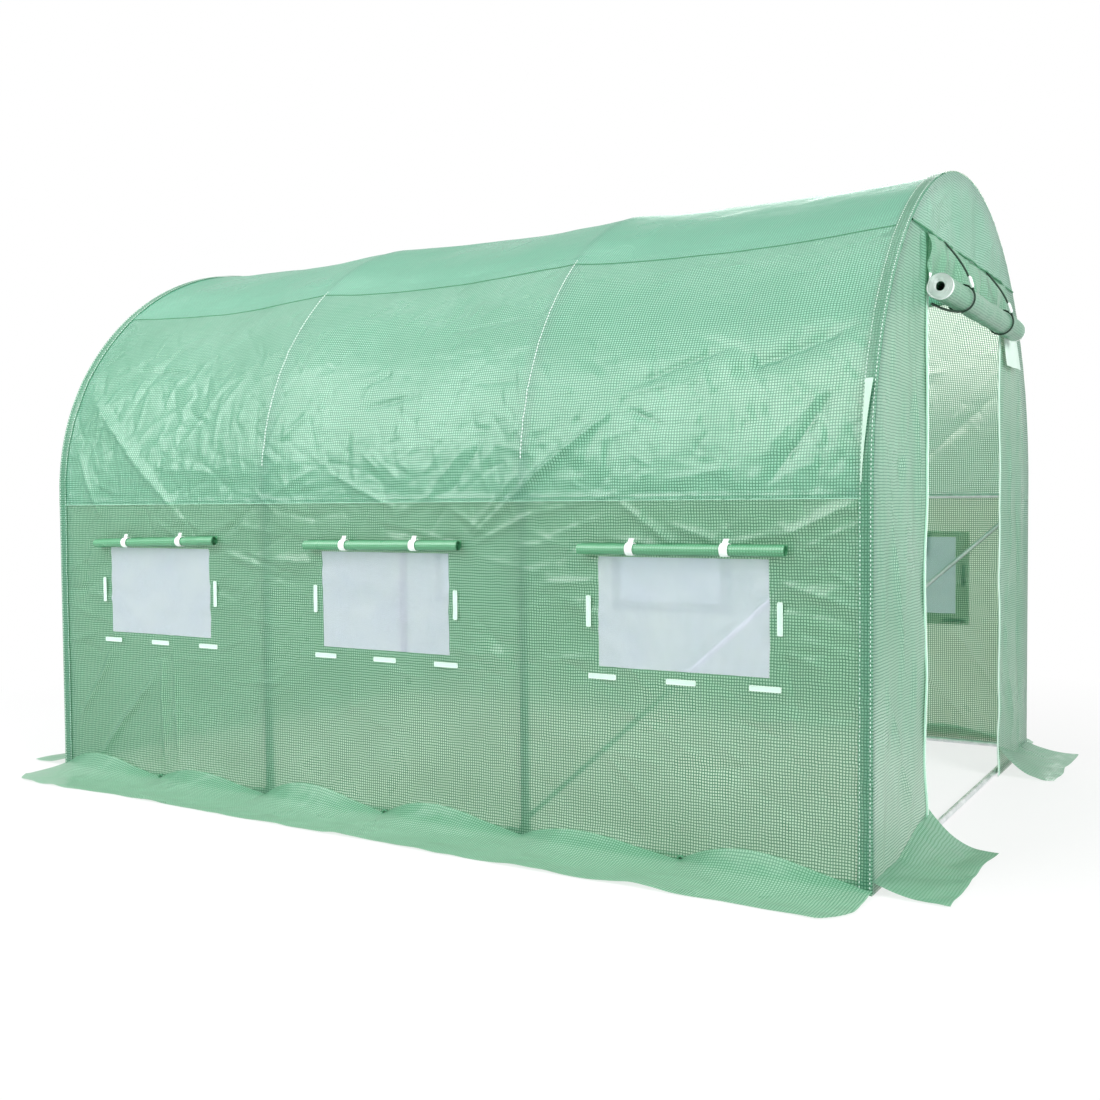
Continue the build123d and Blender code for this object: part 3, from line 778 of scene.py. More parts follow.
# The gables get a paler copy still of the same film: painted sheen of the light off the film at a grazing
# view
SHEENED_GABLE_FILM = film_material("sheened_gable_film", srgb(220, 254, 242), srgb(98, 164, 134), 0.30)
ROOF_FILM = film_material("roof_film", srgb(132, 210, 180), srgb(72, 150, 119), 0.0, 0.0, 0.2)
SKIRT_FILM = film_material("skirt_film", srgb(172, 224, 198), srgb(88, 158, 120), 0.2, dents=0.8)
FLAP_FILM = film_material("flap_film", srgb(116, 192, 146), srgb(70, 150, 104), 0.0, 0.0, 0.2, 0.2)
CURTAIN_FILM = film_material("curtain_film", srgb(150, 204, 176), srgb(88, 150, 116), 0.0, 0.0, 0.6, 0.3)
HEM_FILM = film_material("binding_film", srgb(150, 216, 186), srgb(58, 130, 96), 0.3, 0.03, 0.3, 0.45)
MESH = mesh_material("insect_mesh")
TAPE = cloth_material("white_tape", srgb(238, 247, 243), srgb(250, 254, 252))
ZIP_TAPE = cloth_material("zip_tape", srgb(150, 206, 178), srgb(176, 222, 198))
PALE_TAPE = cloth_material("pale_tape", srgb(206, 232, 218), srgb(222, 240, 230))
LOOP_PILE = cloth_material("loop_pile", srgb(196, 232, 214), srgb(216, 242, 228), 1400.0)
DARK_CORD = cloth_material("dark_cord", srgb(24, 48, 36), srgb(40, 70, 52))
# Pale thread for the real hem stitches, and painted highlight for the rows over the hoops
STITCH_AND_HIGHLIGHT = cloth_material("stitch_thread_and_highlight", srgb(214, 238, 226), srgb(234, 248, 241), 2000.0)
# Pale green: the painted highlight along the crease of the loose hem strip
HEM_FOLD_HIGHLIGHT = cloth_material("hem_fold_highlight", srgb(172, 208, 188), srgb(204, 230, 214), 500.0)
# Dark green for the real tie cords, and painted shadow for the lines along the roof seam and under the
# gables
SEAM_SHADOW_AND_CORD = cloth_material("seam_shadow_and_tie_cord", srgb(70, 132, 98), srgb(92, 156, 120), 2000.0)
STEEL = steel_material("galvanised_tube", srgb(206, 212, 212), srgb(232, 236, 236), 0.36)
# The hoops are the same galvanised tube painted darker: painted shade, so they show as dark lines through
# the film
SHADED_HOOP_STEEL = steel_material("shaded_hoop_tube", srgb(104, 112, 112), srgb(138, 146, 146), 0.40)
FITTING = steel_material("fitting_metal", srgb(120, 126, 130), srgb(168, 174, 178), 0.42)


def window_at(y, z):
    """Where places on a side wall lie inside one of its windows."""
    inside = np.zeros(np.shape(y), bool)
    for middle in BAY_Y:
        inside |= (np.abs(y - middle) < WINDOW_WIDTH / 2) & (z > WINDOW_LOW) & (z < WINDOW_HIGH)
    return inside


def cover_sheet(name, side, y_lines, s_lines, material, skip=None, out=None):
    """A sheet of the long cover on one side, from the foot up."""
    def place(y, s):
        lift = 0.0 if out is None else out(y, s)
        return (*on_cover(y, round_t(side, s), lift), y, s)
    return add_sheet(name, y_lines, s_lines, place, material, skip)


def add_side_cover(name, side):
    """The wall with its window openings, and the shoulder lapped over its top edge."""
    edges = [y + half * WINDOW_WIDTH / 2 for y in BAY_Y for half in (-1, 1)]
    y_lines = lines(FINE_STEP, *sorted([-END_Y, END_Y, *HOOP_Y, *edges]))
    s_lines = lines(FINE_STEP, 0.0, WINDOW_LOW, WINDOW_HIGH, WAIST_Z)
    wall = cover_sheet(f"side_wall_{name}", side, y_lines, s_lines, SHADED_WALL_FILM, window_at)
    settle(wall, "cover_sheet", f"side_wall_{name}")

    def lapped(y, s):
        return LAP_LIFT * (s < WAIST_Z + LAP / 2)
    low = WAIST_Z - LAP / 2
    s_lines = lines(FINE_STEP, low, WAIST_Z + LAP / 2, ROOF_SEAM_T)
    shoulder = cover_sheet(f"shoulder_{name}", side, y_lines, s_lines, FILM, out=lapped)
    settle(shoulder, "cover_sheet", f"shoulder_{name}")


def add_roof():
    """The band along the ridge, lapped over both shoulders."""
    low = ROOF_SEAM_T - LAP
    high = 2 * RIDGE_T - low
    y_lines = lines(COARSE_STEP, -END_Y, *HOOP_Y, END_Y)
    t_lines = lines(COARSE_STEP, low, ROOF_SEAM_T, RIDGE_T, 2 * RIDGE_T - ROOF_SEAM_T, high)

    def place(y, t):
        edge = np.minimum(t, 2 * RIDGE_T - t) < ROOF_SEAM_T + LAP
        return (*on_cover(y, t, LAP_LIFT * edge), y, t)
    band = settle(add_sheet("roof_band", y_lines, t_lines, place, ROOF_FILM), "cover_sheet", "roof_band")


def add_hems():
    """The hems over both end hoops, and the strip of the front one that has come loose."""
    around = lines(COARSE_STEP, 0.0, 2 * RIDGE_T)
    for name, face in (("front", -1), ("rear", 1)):
        def place(inset, t):
            y = face * (END_Y - inset)
            return (*on_cover(y, t, HEM_LIFT), y, t)
        hem = add_sheet(f"hem_{name}", lines(HEM_STEP, 0.0, HEM_WIDTH), around, place, HEM_FILM)
        settle(hem, "cover_sheet")
    drop = lines(STRIP_STEP, STRIP_LOW, STRIP_HIGH)
    share = (drop - STRIP_LOW) / (STRIP_HIGH - STRIP_LOW)
    y = -END_Y + STRIP_INSET - STRIP_DRIFT * share
    edge, outward = cover_line(y, drop, STRIP_LIFT + STRIP_FLARE * share)
    width = 2 * (STRIP_EDGE + STRIP_FLARE * share**1.5)[:, None]
    strip = ribbon(edge, outward, ALONG_Y, width, STRIP_THICKNESS)
    # Its pale colour is painted highlight on the crease
    add_trim("loose_hem_strip", [strip], HEM_FOLD_HIGHLIGHT, "white_tape")


def add_stitches_and_hoop_highlights():
    """Rows of stitches along both edges of the hems, and white stitch rows over the two middle hoops that
    paint the highlight of the film drawn tight over them.
    """
    around = lines(COARSE_STEP, 0.0, 2 * RIDGE_T)[1:-1]
    arch = lines(COARSE_STEP, SPRING_Z + HOOP_ROW_START, ROOF_SEAM_T)
    parts = []
    for inset in HEM_ROW_INSETS:
        for face in (-1, 1):
            row = cover_line(face * (END_Y - inset), around, HEM_LIFT)
            parts.append(stitches(*row, *HEM_STITCH))
    for side in (-1, 1):
        for y in HOOP_Y[1:3]:
            row = cover_line(y - HOOP_ROW_SHIFT, round_t(side, arch), HOOP_ROW_LIFT)
            parts.append(stitches(*row, *HOOP_HIGHLIGHT_STITCH))
    add_trim("cover_stitches", parts, STITCH_AND_HIGHLIGHT, "white_tape")


def add_welts_and_seam_shadows():
    """Pale raised welts along the waist on both sides, and thin dark lines along the roof band and under
    both gables that paint the shadow under the lapped edges.
    """
    along = lines(COARSE_STEP, -END_Y, END_Y)
    roof, waist = [], []
    for side in (-1, 1):
        line = cover_line(along, round_t(side, WAIST_Z - LAP / 2), WAIST_WELT_LIFT)[0]
        waist.append(tube(line, WAIST_WELT, UP, THIN_SIDES))
        line = cover_line(along, round_t(side, ROOF_SEAM_T - LAP), ROOF_SHADOW_LINE_LIFT)[0]
        roof.append(tube(line, ROOF_SHADOW_LINE, UP, THIN_SIDES))
    across = lines(COARSE_STEP, -half_width_at(ROOF_SEAM_Z), half_width_at(ROOF_SEAM_Z))
    front = ("front_gable", "front_panel_left", "front_panel_right")
    for face, sheets in ((-1, front), (1, ("rear_gable", "rear_wall"))):
        lifts = [end_lift(across, ROOF_SEAM_Z, END_SEEDS[name]) for name in sheets]
        out = END_Y + np.max(lifts, axis=0) + GABLE_SHADOW_LINE_LIFT
        roof.append(tube(xyz(across, face * out, ROOF_SEAM_Z), GABLE_SHADOW_LINE, UP, THIN_SIDES))
    # The roof and gable lines are painted shadow under the lapped edges
    add_trim("roof_seam_shadow_lines", roof, SEAM_SHADOW_AND_CORD, "cover_sheet", smooth=True)
    add_trim("waist_welts", waist, ZIP_TAPE, "cover_sheet", smooth=True)


def add_foot_ties():
    """The loops of cord that hold the foot down in the middle of each bay."""
    turn = np.linspace(0, TURN, 13)
    along, rise = FOOT_TIE_SIZE[0] * np.cos(turn), FOOT_TIE_SIZE[1] * np.sin(turn)
    knots = []
    for side in (-1, 1):
        for y in BAY_Y:
            points = cover_line(y + along, round_t(side, FOOT_TIE_LEVEL + rise), FOOT_TIE_LIFT)[0]
            knots.append(tube(points, CORD_RADIUS, ALONG_X, THIN_SIDES))
    add_trim("foot_ties", knots, SEAM_SHADOW_AND_CORD, "tie_cord", smooth=True)


def edge_distance(x, z):
    """How far places on an end wall are from its arched edge."""
    gaps = [np.hypot(np.abs(x) - edge_x, z - edge_z) for edge_x, edge_z in zip(PROFILE_X, PROFILE_Z)]
    return np.min(gaps, axis=0)


def end_lift(x, z, seed):
    """How far an end sheet stands out from its plane, flat along the hoop and the ground."""
    inside = np.minimum(edge_distance(x, z), z)
    folds = END_BROAD_WAVE * noise(2.5 * x, z, END_BROAD_CELL, seed)
    folds = folds + END_SMALL_WAVE * noise(2 * x, 0.6 * z, END_SMALL_CELL, seed + 1)
    for start, end, height, width in END_FOLDS:
        folds = folds + fold_height(x, z, start, end, height, width)
    folds = folds * np.clip(inside / END_FADE, 0, 1)
    return np.maximum(folds, -TUBE_GAP - TENT_SLOPE * np.maximum(inside - 3 * TUBE_REACH, 0))


def door_line(side, z):
    """Where the free edge of a door panel hangs at height z: straight at the top, swaying below."""
    loose = np.clip((ROOF_SEAM_Z - z) / DOOR_SWAY_START, 0, 1)
    wave = noise(z, 0 * z, DOOR_SWAY_CELL, DOOR_SWAY_SEED + side)
    return side * (DOOR_EDGE + loose * (DOOR_SWAY[side] * wave + DOOR_SHIFT[side]))


def add_ends():
    """Both gables, the closed rear wall and the two panels beside the door."""
    def left(z):
        return -half_width_at(z)

    def right(z):
        return half_width_at(z)

    def door_left(z):
        return door_line(-1, z)

    def door_right(z):
        return door_line(1, z)
    top = RIDGE_Z - GABLE_TOP_GAP
    rows = (
        ("front_gable", -1, left, right, ROOF_SEAM_Z, top, SHEENED_GABLE_FILM),
        ("rear_gable", 1, left, right, ROOF_SEAM_Z, top, SHEENED_GABLE_FILM),
        ("rear_wall", 1, left, right, 0.0, ROOF_SEAM_Z, LIT_END_FILM),
        ("front_panel_left", -1, left, door_left, 0.0, ROOF_SEAM_Z, LIT_END_FILM),
        ("front_panel_right", -1, door_right, right, 0.0, ROOF_SEAM_Z, LIT_END_FILM),
    )
    for name, face, x_low, x_high, z_low, z_high, film in rows:
        def place(share, z):
            x = x_low(z) + (x_high(z) - x_low(z)) * share
            return x, face * (END_Y + end_lift(x, z, END_SEEDS[name])), z, x, z
        z_lines = section(lines(COARSE_STEP, arc_at(z_low), arc_at(z_high)))[1]
        piece = add_sheet(name, np.linspace(0.0, 1.0, 101), z_lines, place, film)
        settle(piece, "cover_sheet", name)


def foot_hump(y):
    """How high the root of a side skirt rides up between the places where it is tied down."""
    ties = sorted((*HOOP_Y, *BAY_Y))
    span = np.clip(np.searchsorted(ties, y) - 1, 0, len(ties) - 2)
    start, end = np.take(ties, span), np.take(ties, span + 1)
    share = np.clip((y - start) / (end - start), 0, 1)
    return np.take(HUMPS, span) * np.sin(math.pi * share**SAG_SKEW) ** SAG_FULLNESS


def skirt_rise(along, out, reach, seed, root):
    """The ripples of a skirt on the ground, and its bend up to a root that rides on the wall."""
    ripple = 0.5 + 0.4 * noise(along, out, RIPPLE_CELLS[0], seed)
    ripple = ripple + 0.2 * noise(along, 2 * out, RIPPLE_CELLS[1], seed + 3)
    bend = np.clip(1 - out / SKIRT_BEND, 0, 1) ** 2.2
    return SKIRT_LIFT + SKIRT_RIPPLE * out / reach * ripple**2 + (root + SKIRT_ROOT) * bend


def skirt_reach(along, end, reach, seed):
    """How far out a skirt reaches: a wavy edge with rounded corners."""
    waves = noise(along, 0 * along, REACH_CELLS[0], seed)
    waves = waves + noise(along, 0 * along, REACH_CELLS[1], seed + 5)
    corner = np.clip((np.abs(along) - end + SKIRT_CORNER) / SKIRT_CORNER, 0, 1)
    return reach * (SKIRT_FULL_SHARE + SKIRT_WAVE_SHARE * waves) * (1 - SKIRT_CORNER_CUT * corner**2)


def add_skirts():
    """The strips that lie on the ground round the foot, with wavy free edges."""
    out_share = np.linspace(0.0, 1.0, 26)
    for seed, (name, side) in enumerate(SIDES):
        def place(y, share):
            out = share * skirt_reach(y, END_Y, SIDE_REACH, SIDE_REACH_SEED + seed)
            start = (1 - share) * foot_bulge(y, 0.0)
            rise = skirt_rise(y, out, SIDE_REACH, SIDE_RIPPLE_SEED + seed, foot_hump(y))
            return side * (HALF_WIDTH + start + out), y, rise, y, out
        along = lines(COARSE_STEP, -END_Y, END_Y)
        piece = add_sheet(f"skirt_{name}", along, out_share, place, SKIRT_FILM)
        settle(piece, "cover_sheet", f"skirt_{name}")
    ends = (("skirt_rear", 1), ("skirt_front_left", -1), ("skirt_front_right", -1))
    for seed, (name, face) in enumerate(ends):
        low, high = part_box(name)

        def place(x, share):
            out = share * skirt_reach(x, HALF_WIDTH + SKIRT_CORNER, END_REACH, END_REACH_SEED + seed)
            door = np.clip(1 - (np.abs(x) - DOOR_EDGE) / DOOR_ROOT_REACH, 0, 1) * (face < 0)
            rise = skirt_rise(x, out, END_REACH, END_RIPPLE_SEED + seed, END_ROOT + DOOR_ROOT * door)
            return x, face * (END_Y + out), rise, x, out
        piece = add_sheet(name, lines(COARSE_STEP, low.x, high.x), out_share, place, SKIRT_FILM)
        settle(piece, "cover_sheet", name)


def spiral(outer, inner, gap, centre, top):
    """A rolled sheet seen from its end: down from top, then round and inward; distances out and up."""
    down = np.linspace(top, centre[1], max(3, round((top - centre[1]) / SHEET_STEP)))[:-1]
    turns = (outer - inner) / gap
    angle = np.linspace(0, TURN * turns, round(SPIRAL_STEPS * turns))
    radius = outer - gap * angle / TURN
    out = np.append(np.full_like(down, centre[0] - outer), centre[0] - radius * np.cos(angle))
    up = np.append(down, centre[1] - radius * np.sin(angle))
    run = np.append(0, np.cumsum(np.hypot(np.diff(out), np.diff(up))))
    return out, up, run


def add_windows():
    """Mesh, flaps, straps and fastening patches: rolled up on the left, closed on the right."""
    z_lines = lines(NET_STEP, WINDOW_LOW, WINDOW_HIGH)
    for name, side in SIDES:
        for bay, middle in zip(BAYS, BAY_Y):
            def net(y, z):
                out = cover_lift(y, round_t(side, z)) - NET_DEPTH
                return side * (HALF_WIDTH + out), y, z, y, z
            y_lines = lines(NET_STEP, middle - WINDOW_WIDTH / 2, middle + WINDOW_WIDTH / 2)
            piece = add_sheet(f"window_mesh_{name}_{bay}", y_lines, z_lines, net, MESH)
            settle(piece, "insect_mesh", f"window_meshes_{name}")
        add_patches(name, side)
    add_window_rolls()
    add_window_flaps()


def add_window_rolls():
    """The left flaps, each a spiral of sheet in two white straps."""
    radius = (ROLL_HIGH.z - ROLL_LOW.z) / 2
    centre = (-(ROLL_LOW.x + ROLL_HIGH.x) / 2 - HALF_WIDTH, (ROLL_LOW.z + ROLL_HIGH.z) / 2)
    half = (ROLL_HIGH.y - ROLL_LOW.y) / 2
    out, up, run = spiral(radius, ROLL_BORE, ROLL_GAP, centre, centre[1] + radius)
    for bay_seed, (bay, middle) in enumerate(zip(BAYS, BAY_Y)):
        seed = ROLL_SEED + bay_seed

        def place(y, i):
            i = i.astype(int)
            wave = noise(y, run[i], ROLL_CELLS[0], seed)
            wave = ROLL_SLACK * (wave + 0.5 * noise(y, run[i], ROLL_CELLS[1], seed + 1))
            level = up[i] + 0.7 * wave - ROLL_TILT[bay] * (y - middle)
            return -(HALF_WIDTH + out[i] + wave), y, level, y, run[i]
        along = lines(SHEET_STEP, middle - half, middle + half)
        name = f"window_roll_left_{bay}"
        roll = settle(add_sheet(name, along, np.arange(len(run)), place, FLAP_FILM), "flap_sheet", name)
    add_tied_straps(centre, radius)


def add_tied_straps(centre, radius):
    """Two white straps round each left roll, each with a short tail standing up."""
    angles = np.linspace(*LOOP_ARC, 22)
    rise = np.linspace(0, TAIL_RISE, 5)
    grip = radius + LOOP_GAP
    normals = xyz(np.cos(angles), 0.0, -np.sin(angles))
    parts = []
    for bay, middle in zip(BAYS, BAY_Y):
        for offset in (-STRAP_OFFSET, STRAP_OFFSET):
            y = middle + offset
            level = centre[1] - ROLL_TILT[bay] * offset
            out = centre[0] - grip * np.cos(angles)
            up = level - grip * np.sin(angles)
            points = xyz(-(HALF_WIDTH + out), y, up)
            parts.append(ribbon(points, normals, ALONG_Y, STRAP_WIDTH, LOOP_THICKNESS))
            out = centre[0] + TAIL_OUT + 6 * rise**2
            up = level + grip + TAIL_LIFT + rise * 0.9
            points = xyz(-(HALF_WIDTH + out), y - TAIL_LEAN * rise, up)
            parts.append(ribbon(points, (-1, 0, 0.2), ALONG_Y, STRAP_WIDTH * 0.7, STRAP_THICKNESS))
    add_trim("window_straps_left", parts, TAPE, "white_tape", "window_straps_left")


def add_window_flaps():
    """The right flaps hang closed over their patches, with two loose straps on each."""
    half = (FLAP_HIGH.y - FLAP_LOW.y) / 2
    height = FLAP_HIGH.z - FLAP_LOW.z
    z_lines = lines(SHEET_STEP, FLAP_LOW.z, FLAP_HIGH.z)
    for seed, (bay, middle) in enumerate(zip(BAYS, BAY_Y)):
        def hang(y, z):
            loose = (FLAP_HIGH.z - z) / height
            sway = FLAP_SWAY + FLAP_SWAY * noise(y, z, FLAP_CELL, FLAP_SEED + seed)
            out = cover_lift(y, round_t(1, z)) + FLAP_GAP + loose * sway
            return HALF_WIDTH + out, y, z, y, z
        y_lines = lines(SHEET_STEP, middle - half, middle + half)
        name = f"window_flap_right_{bay}"
        flap = settle(add_sheet(name, y_lines, z_lines, hang, FILM), "flap_sheet", name)
    low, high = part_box("window_straps_right")
    parts = []
    drop = np.linspace(high.z, low.z, 12)
    for middle in BAY_Y:
        for offset in (-STRAP_OFFSET, STRAP_OFFSET):
            y = middle + offset + STRAP_LEAN * (high.z - drop)
            out = cover_lift(y, round_t(1, drop)) + STRAP_GAP + STRAP_CURL * np.sin(STRAP_CURL_RATE * drop)
            points = xyz(HALF_WIDTH + out, y, drop)
            parts.append(ribbon(points, ALONG_X, ALONG_Y, STRAP_WIDTH, STRAP_THICKNESS))
    add_trim("window_straps_right", parts, TAPE, "white_tape", "window_straps_right")


def patch_shape():
    """A sewn patch with round corners, as rings of points: flat place and height."""
    points = []
    for inset, height in PATCH_RINGS:
        bend = max(PATCH_CORNER - inset, 0.0004)
        for quarter, (right, up) in enumerate(((1, 1), (-1, 1), (-1, -1), (1, -1))):
            for step in range(4):
                angle = math.pi / 2 * (quarter + step / 3)
                along = right * (PATCH_LENGTH / 2 - PATCH_CORNER) + math.cos(angle) * bend
                across = up * (PATCH_WIDTH / 2 - PATCH_CORNER) + math.sin(angle) * bend
                points.append((along, across, height))
    return np.array(points)


def add_patches(name, side):
    """Fastening patches round each window: a raised white rim and a soft middle."""
    shape = patch_shape()
    count = len(shape) // len(PATCH_RINGS)
    rim = ring_faces(len(PATCH_RINGS), count)
    inner = np.arange(len(shape) - count, len(shape))
    jamb_z = (WINDOW_LOW + WINDOW_HIGH) / 2
    points, rim_faces, centre_faces, start = [], [], [], 0
    for middle in BAY_Y:
        places = [(middle + k * SILL_PATCH_OFFSET, WINDOW_LOW - PATCH_MARGIN, False) for k in (-1, 0, 1)]
        places += [(middle + k * (WINDOW_WIDTH / 2 + PATCH_MARGIN), jamb_z, True) for k in (-1, 1)]
        for y, z, upright in places:
            along, up = (shape[:, 1], shape[:, 0]) if upright else (shape[:, 0], shape[:, 1])
            flat_y, flat_z = y + along, z + up
            under = [lines(SEAT_STEP, values.min(), values.max()) for values in (flat_y, flat_z)]
            seat_y, seat_z = np.meshgrid(*under)
            out = np.max(cover_lift(seat_y, round_t(side, seat_z))) + PATCH_GAP + shape[:, 2]
            points.append(xyz(side * (HALF_WIDTH + out), flat_y, flat_z))
            rim_faces += (rim + start).tolist()
            centre_faces.append((inner + start).tolist())
            start += len(shape)
    faces = rim_faces + centre_faces
    materials = [PALE_TAPE, LOOP_PILE]
    piece = add_piece(f"window_patches_{name}", np.concatenate(points), faces, materials, smooth=False)
    piece.data.polygons.foreach_set("material_index", [0] * len(rim_faces) + [1] * len(centre_faces))
    settle(piece, "white_tape", f"window_patches_{name}")


def add_door():
    """The rolled curtain under the gable, its ties, the zips beside the doorway and a bare label."""
    outer = CURTAIN_RADIUS
    centre = (-END_Y - CURTAIN_LOW.y - outer, CURTAIN_LOW.z + outer)
    out, up, run = spiral(outer, CURTAIN_BORE / 2, CURTAIN_GAP, centre, ROOF_SEAM_Z)
    fall = ROOF_SEAM_Z - centre[1]
    drop = np.clip((up - centre[1]) / fall, 0, 1) * (run < fall)

    def place(x, i):
        i = i.astype(int)
        crease = noise(x, run[i], CURTAIN_CELLS[0], CURTAIN_SEED)
        crease = crease + 0.6 * noise(x, 0.5 * run[i], CURTAIN_CELLS[1], CREASE_SEED)
        wave = CURTAIN_SLACK * crease
        pleat = np.abs(noise(x + 0.3 * run[i], 0.2 * run[i], GATHER_CELL, GATHER_SEED))
        gather = drop[i] * (1 - drop[i]) * CURTAIN_GATHER * pleat
        return x, -(END_Y + out[i] + wave + gather), up[i] + 0.7 * wave, x, run[i]
    low, high = CURTAIN_LOW.x, CURTAIN_HIGH.x
    along = lines(CURTAIN_STEP, low, low + CURTAIN_EDGE, high - CURTAIN_EDGE, high)
    curtain = add_sheet("door_curtain", along, np.arange(len(run)), place, CURTAIN_FILM)
    curtain.data.materials.append(TAPE)
    inner = max(abs(low), high) - CURTAIN_EDGE
    for polygon in curtain.data.polygons:
        polygon.material_index = int(abs(polygon.center.x) > inner and polygon.center.z < centre[1] + outer)
    settle(curtain, "flap_sheet", "door_curtain")
    add_curtain_ends(centre)
    add_door_ties(centre)
    add_zips()
    add_label()


def add_curtain_ends(centre):
    """The white edge tape of the curtain, seen as wound rings in both ends of the roll."""
    radii = np.linspace(CURTAIN_BORE / 2, CURTAIN_RADIUS - END_RIM, END_RINGS)
    ring, angle = np.meshgrid(radii, np.linspace(0, TURN, END_TURN_POINTS), indexing="ij")
    depth = END_DEPTH + END_GROOVE * (np.arange(END_RINGS) % 2)[:, None]
    y = -(END_Y + centre[0] - ring * np.cos(angle))
    z = centre[1] - ring * np.sin(angle)
    parts = []
    for x, face in ((CURTAIN_LOW.x, -1), (CURTAIN_HIGH.x, 1)):
        parts.append((xyz(x - face * depth, y, z).reshape(-1, 3), grid_faces(*ring.shape)))
    add_trim("door_curtain_ends", parts, TAPE, "white_tape")


def add_door_ties(centre):
    """Two dark cords hung from the gable seam and tied round the roll, each with a white toggle."""
    cords, toggles = [], []
    grip = CURTAIN_RADIUS + CORD_RADIUS
    angles = np.linspace(0, TURN, 33)
    ring_out, ring_up = centre[0] - grip * np.cos(angles), centre[1] - grip * np.sin(angles)
    low = (centre[0] + grip * math.cos(TIE_MEET), centre[1] + grip * math.sin(TIE_MEET))
    share = np.linspace(0, 1, 12)
    bow = np.sin(math.pi * share)
    out = CORD_RADIUS + (low[0] - CORD_RADIUS) * share + TIE_BOW * bow
    up = ROOF_SEAM_Z + (low[1] - ROOF_SEAM_Z) * share
    steps = np.linspace(-TOGGLE_LENGTH, 0, 9)
    rounded = TOGGLE_RADIUS * np.sqrt(np.clip(1 - (2 * (steps / TOGGLE_LENGTH + 0.5)) ** 6, 0.1, 1))
    for x in (-DOOR_TIE_OFFSET, DOOR_TIE_OFFSET):
        ring = xyz(x, -(END_Y + ring_out), ring_up)
        strand = xyz(x - TIE_LEAN * (1 - share), -(END_Y + out), up)
        spare_x = x - TIE_LEAN - SPARE_BOW * bow - SPARE_SHIFT
        other = xyz(spare_x, -(END_Y + CORD_RADIUS + SPARE_OUT * share), up)
        cords += [tube(path, CORD_RADIUS, ALONG_X) for path in (ring, strand, other)]
        ahead = (strand[-1] - strand[-3]) / np.linalg.norm(strand[-1] - strand[-3])
        toggles.append(tube(strand[-2] + steps[:, None] * ahead, rounded, ALONG_X, 12))
    tail = np.linspace(0, 1, 14)
    tail_x = -DOOR_TIE_OFFSET - TIE_TAIL * tail
    tail_y = -(END_Y + centre[0] * (1 - tail) + TIE_TAIL_OUT)
    tail_z = centre[1] - grip - TIE_TAIL_SAG * np.sin(math.pi * tail)
    path = xyz(tail_x, tail_y, tail_z)
    cords.append(ribbon(path, OUT_OF_DOOR, UP, TIE_TAIL_WIDTH, TIE_TAIL_THICKNESS))
    add_trim("door_ties", cords, DARK_CORD, "tie_cord", "door_ties", smooth=True)
    add_trim("door_toggles", toggles, TAPE, "white_tape", smooth=True)


def add_zips():
    """Zip tapes on the free edges of the door panels, a pale bead on each edge and a row of teeth."""
    tapes, beads, teeth = [], [], []
    heights = lines(COARSE_STEP, ZIP_FOOT, ROOF_SEAM_Z)
    for name, side in SIDES:
        edge = door_line(side, heights)
        out = END_Y + end_lift(edge, heights, END_SEEDS[f"front_panel_{name}"]) + ZIP_GAP
        points = xyz(edge, -out, heights)
        middle = points + np.array((side * ZIP_WIDTH / 2, 0, 0))
        tapes.append(ribbon(middle, OUT_OF_DOOR, ALONG_X, ZIP_WIDTH, ZIP_THICKNESS))
        beads.append(tube(points, ZIP_BEAD, ALONG_X))
        row = points + np.array((side * ZIP_TEETH_INSET, -ZIP_TEETH_OUT, 0))
        teeth.append(stitches(row, OUT_OF_DOOR, *ZIP_TOOTH))
    add_trim("door_zips", tapes, ZIP_TAPE, "white_tape", "door_zips")
    add_trim("zip_beads", beads, PALE_TAPE, "white_tape", smooth=True)
    add_trim("zip_teeth", teeth, PALE_TAPE, "white_tape")


def add_label():
    """A bare white label sewn by its top edge on the right panel."""
    left = DOOR_EDGE + LABEL_INSET

    def place(x, z):
        loose = (LABEL_TOP - z) / LABEL_HEIGHT
        swing = LABEL_SWING * loose + LABEL_TWIST * (x - left) * loose
        out = LABEL_GAP + swing + LABEL_WAVE * np.sin(LABEL_WAVE_RATE * z)
        return x, -(END_Y + end_lift(x, z, END_SEEDS["front_panel_right"]) + out), z, x, z
    x_lines = lines(LABEL_STEP, left, left + LABEL_WIDTH)
    z_lines = lines(LABEL_STEP, LABEL_TOP - LABEL_HEIGHT, LABEL_TOP)
    label = settle(add_sheet("panel_label", x_lines, z_lines, place, PALE_TAPE), "white_tape")


def dress_frame():
    """Galvanised finish for the tubes and fittings that stay as they are; the hoops get a darker copy that
    paints their shade.
    """
    for name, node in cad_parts.items():
        if name.startswith("hoop"):
            finish = SHADED_HOOP_STEEL
        elif name.startswith(("base_rail", "purlin", "brace")):
            finish = STEEL
        elif name.endswith("fittings"):
            finish = FITTING
        else:
            continue
        node.data.materials.clear()
        node.data.materials.append(finish)


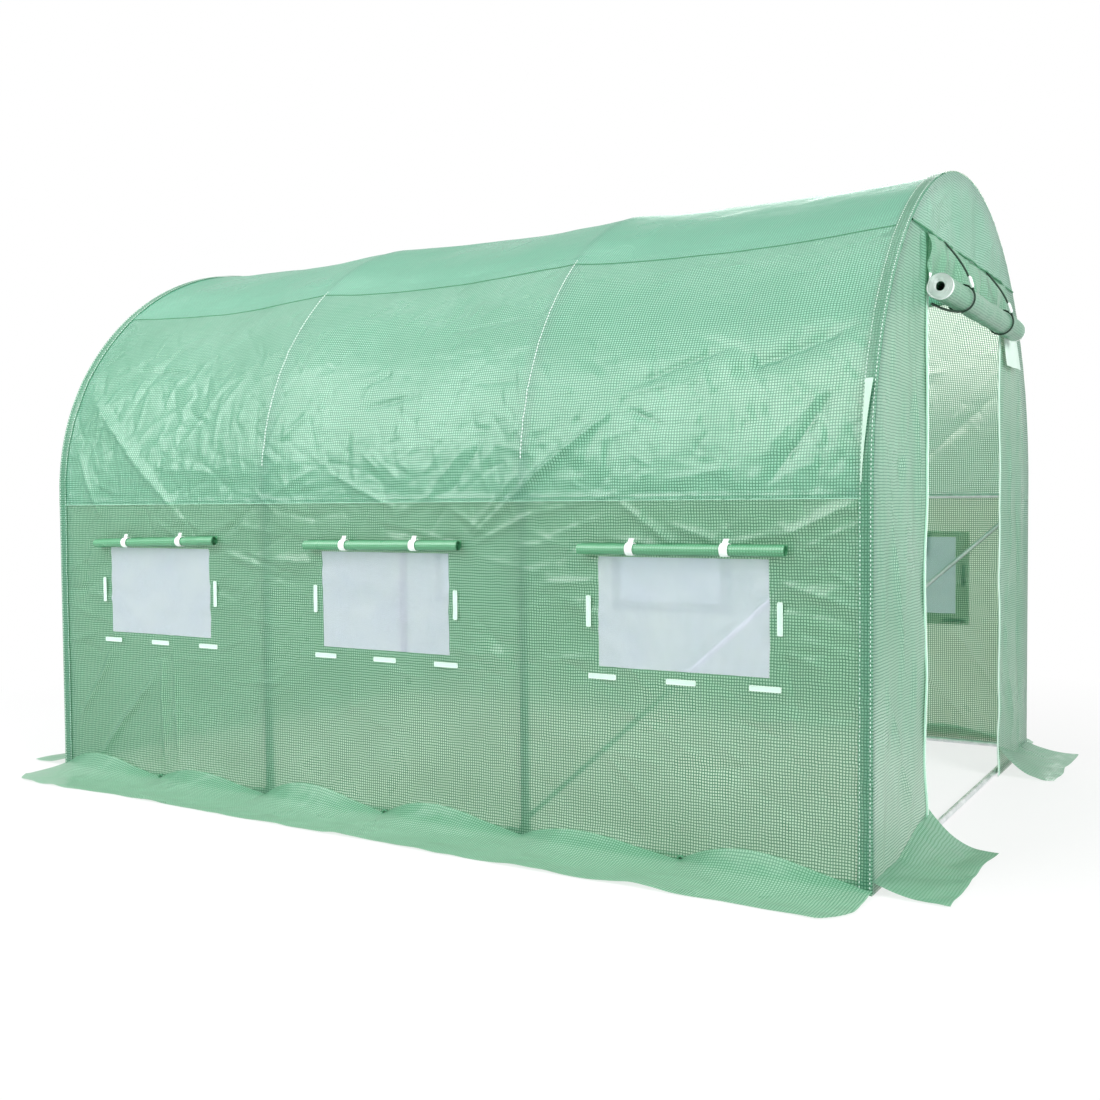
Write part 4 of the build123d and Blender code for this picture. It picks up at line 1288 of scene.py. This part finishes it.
def add_floor():
    """A white floor that keeps the shadow near the tunnel."""
    tree = material_tree("studio_floor")
    matt = tree.add("BsdfDiffuse", inputs={"Color": FLOOR_GREY})
    white = tree.add("Emission", inputs={"Color": WHITE, "Strength": 1.0})
    place = tree.add("NewGeometry")
    distance = tree.add("VectorMath", out=1, inputs={0: place}, operation="LENGTH")
    glow = tree.spread(distance, SHADOW_NEAR, SHADOW_FAR, SHADOW_SHARE, 1.0)
    share = tree.math("MULTIPLY", tree.seen_directly(), glow)
    material = tree.finish(tree.blend(share, matt, white))
    corners = [(x * FLOOR_HALF, y * FLOOR_HALF, 0) for x, y in ((-1, -1), (1, -1), (1, 1), (-1, 1))]
    floor = add_piece("studio_floor", corners, [[0, 1, 2, 3]], [material], smooth=False)
    floor.location.z = -FLOOR_DROP


def add_light():
    """A soft even surround that shows white, and the studio's panel lamps."""
    world = bpy.data.worlds.new("studio")
    bpy.context.scene.world = world
    tree = Tree(world)
    ambient = tree.add("Background", inputs={"Color": WHITE, "Strength": AMBIENT})
    backdrop = tree.add("Background", inputs={"Color": WHITE, "Strength": 1.0})
    tree.finish(tree.blend(tree.seen_directly(), ambient, backdrop), "World")
    for name, (place, target, (width, length), power) in LAMPS.items():
        lamp = bpy.data.lights.new(name, "AREA")
        lamp.shape = "RECTANGLE"
        lamp.size = width
        lamp.size_y = length
        lamp.energy = power
        holder = bpy.data.objects.new(name, lamp)
        holder.location = place
        aim = Vector(target) - Vector(place)
        holder.rotation_euler = aim.to_track_quat("-Z", "Y").to_euler()
        bpy.context.scene.collection.objects.link(holder)


def add_camera():
    """The camera at the picture's place and angle."""
    yaw, pitch, roll = CAMERA_YAW, CAMERA_PITCH, CAMERA_ROLL
    ahead = Vector((math.sin(yaw) * math.cos(pitch), math.cos(yaw) * math.cos(pitch), -math.sin(pitch)))
    right = Vector((math.cos(yaw), -math.sin(yaw), 0))
    down = ahead.cross(right)
    tilted_right = math.cos(roll) * right + math.sin(roll) * down
    tilted_down = math.cos(roll) * down - math.sin(roll) * right
    turn = Matrix((tilted_right, -tilted_down, -ahead)).transposed()
    data = bpy.data.cameras.new("camera")
    data.lens = CAMERA_LENS
    data.sensor_width = SENSOR
    camera = bpy.data.objects.new("camera", data)
    camera.matrix_world = Matrix.Translation(CAMERA_PLACE) @ turn.to_4x4()
    bpy.context.scene.collection.objects.link(camera)
    bpy.context.scene.camera = camera


bpy.context.scene.view_settings.view_transform = "Standard"
add_camera()
add_floor()
add_light()
dress_frame()
for side_name, side_sign in SIDES:
    add_side_cover(side_name, side_sign)
add_roof()
add_hems()
add_stitches_and_hoop_highlights()
add_welts_and_seam_shadows()
add_foot_ties()
add_ends()
add_skirts()
add_windows()
add_door()
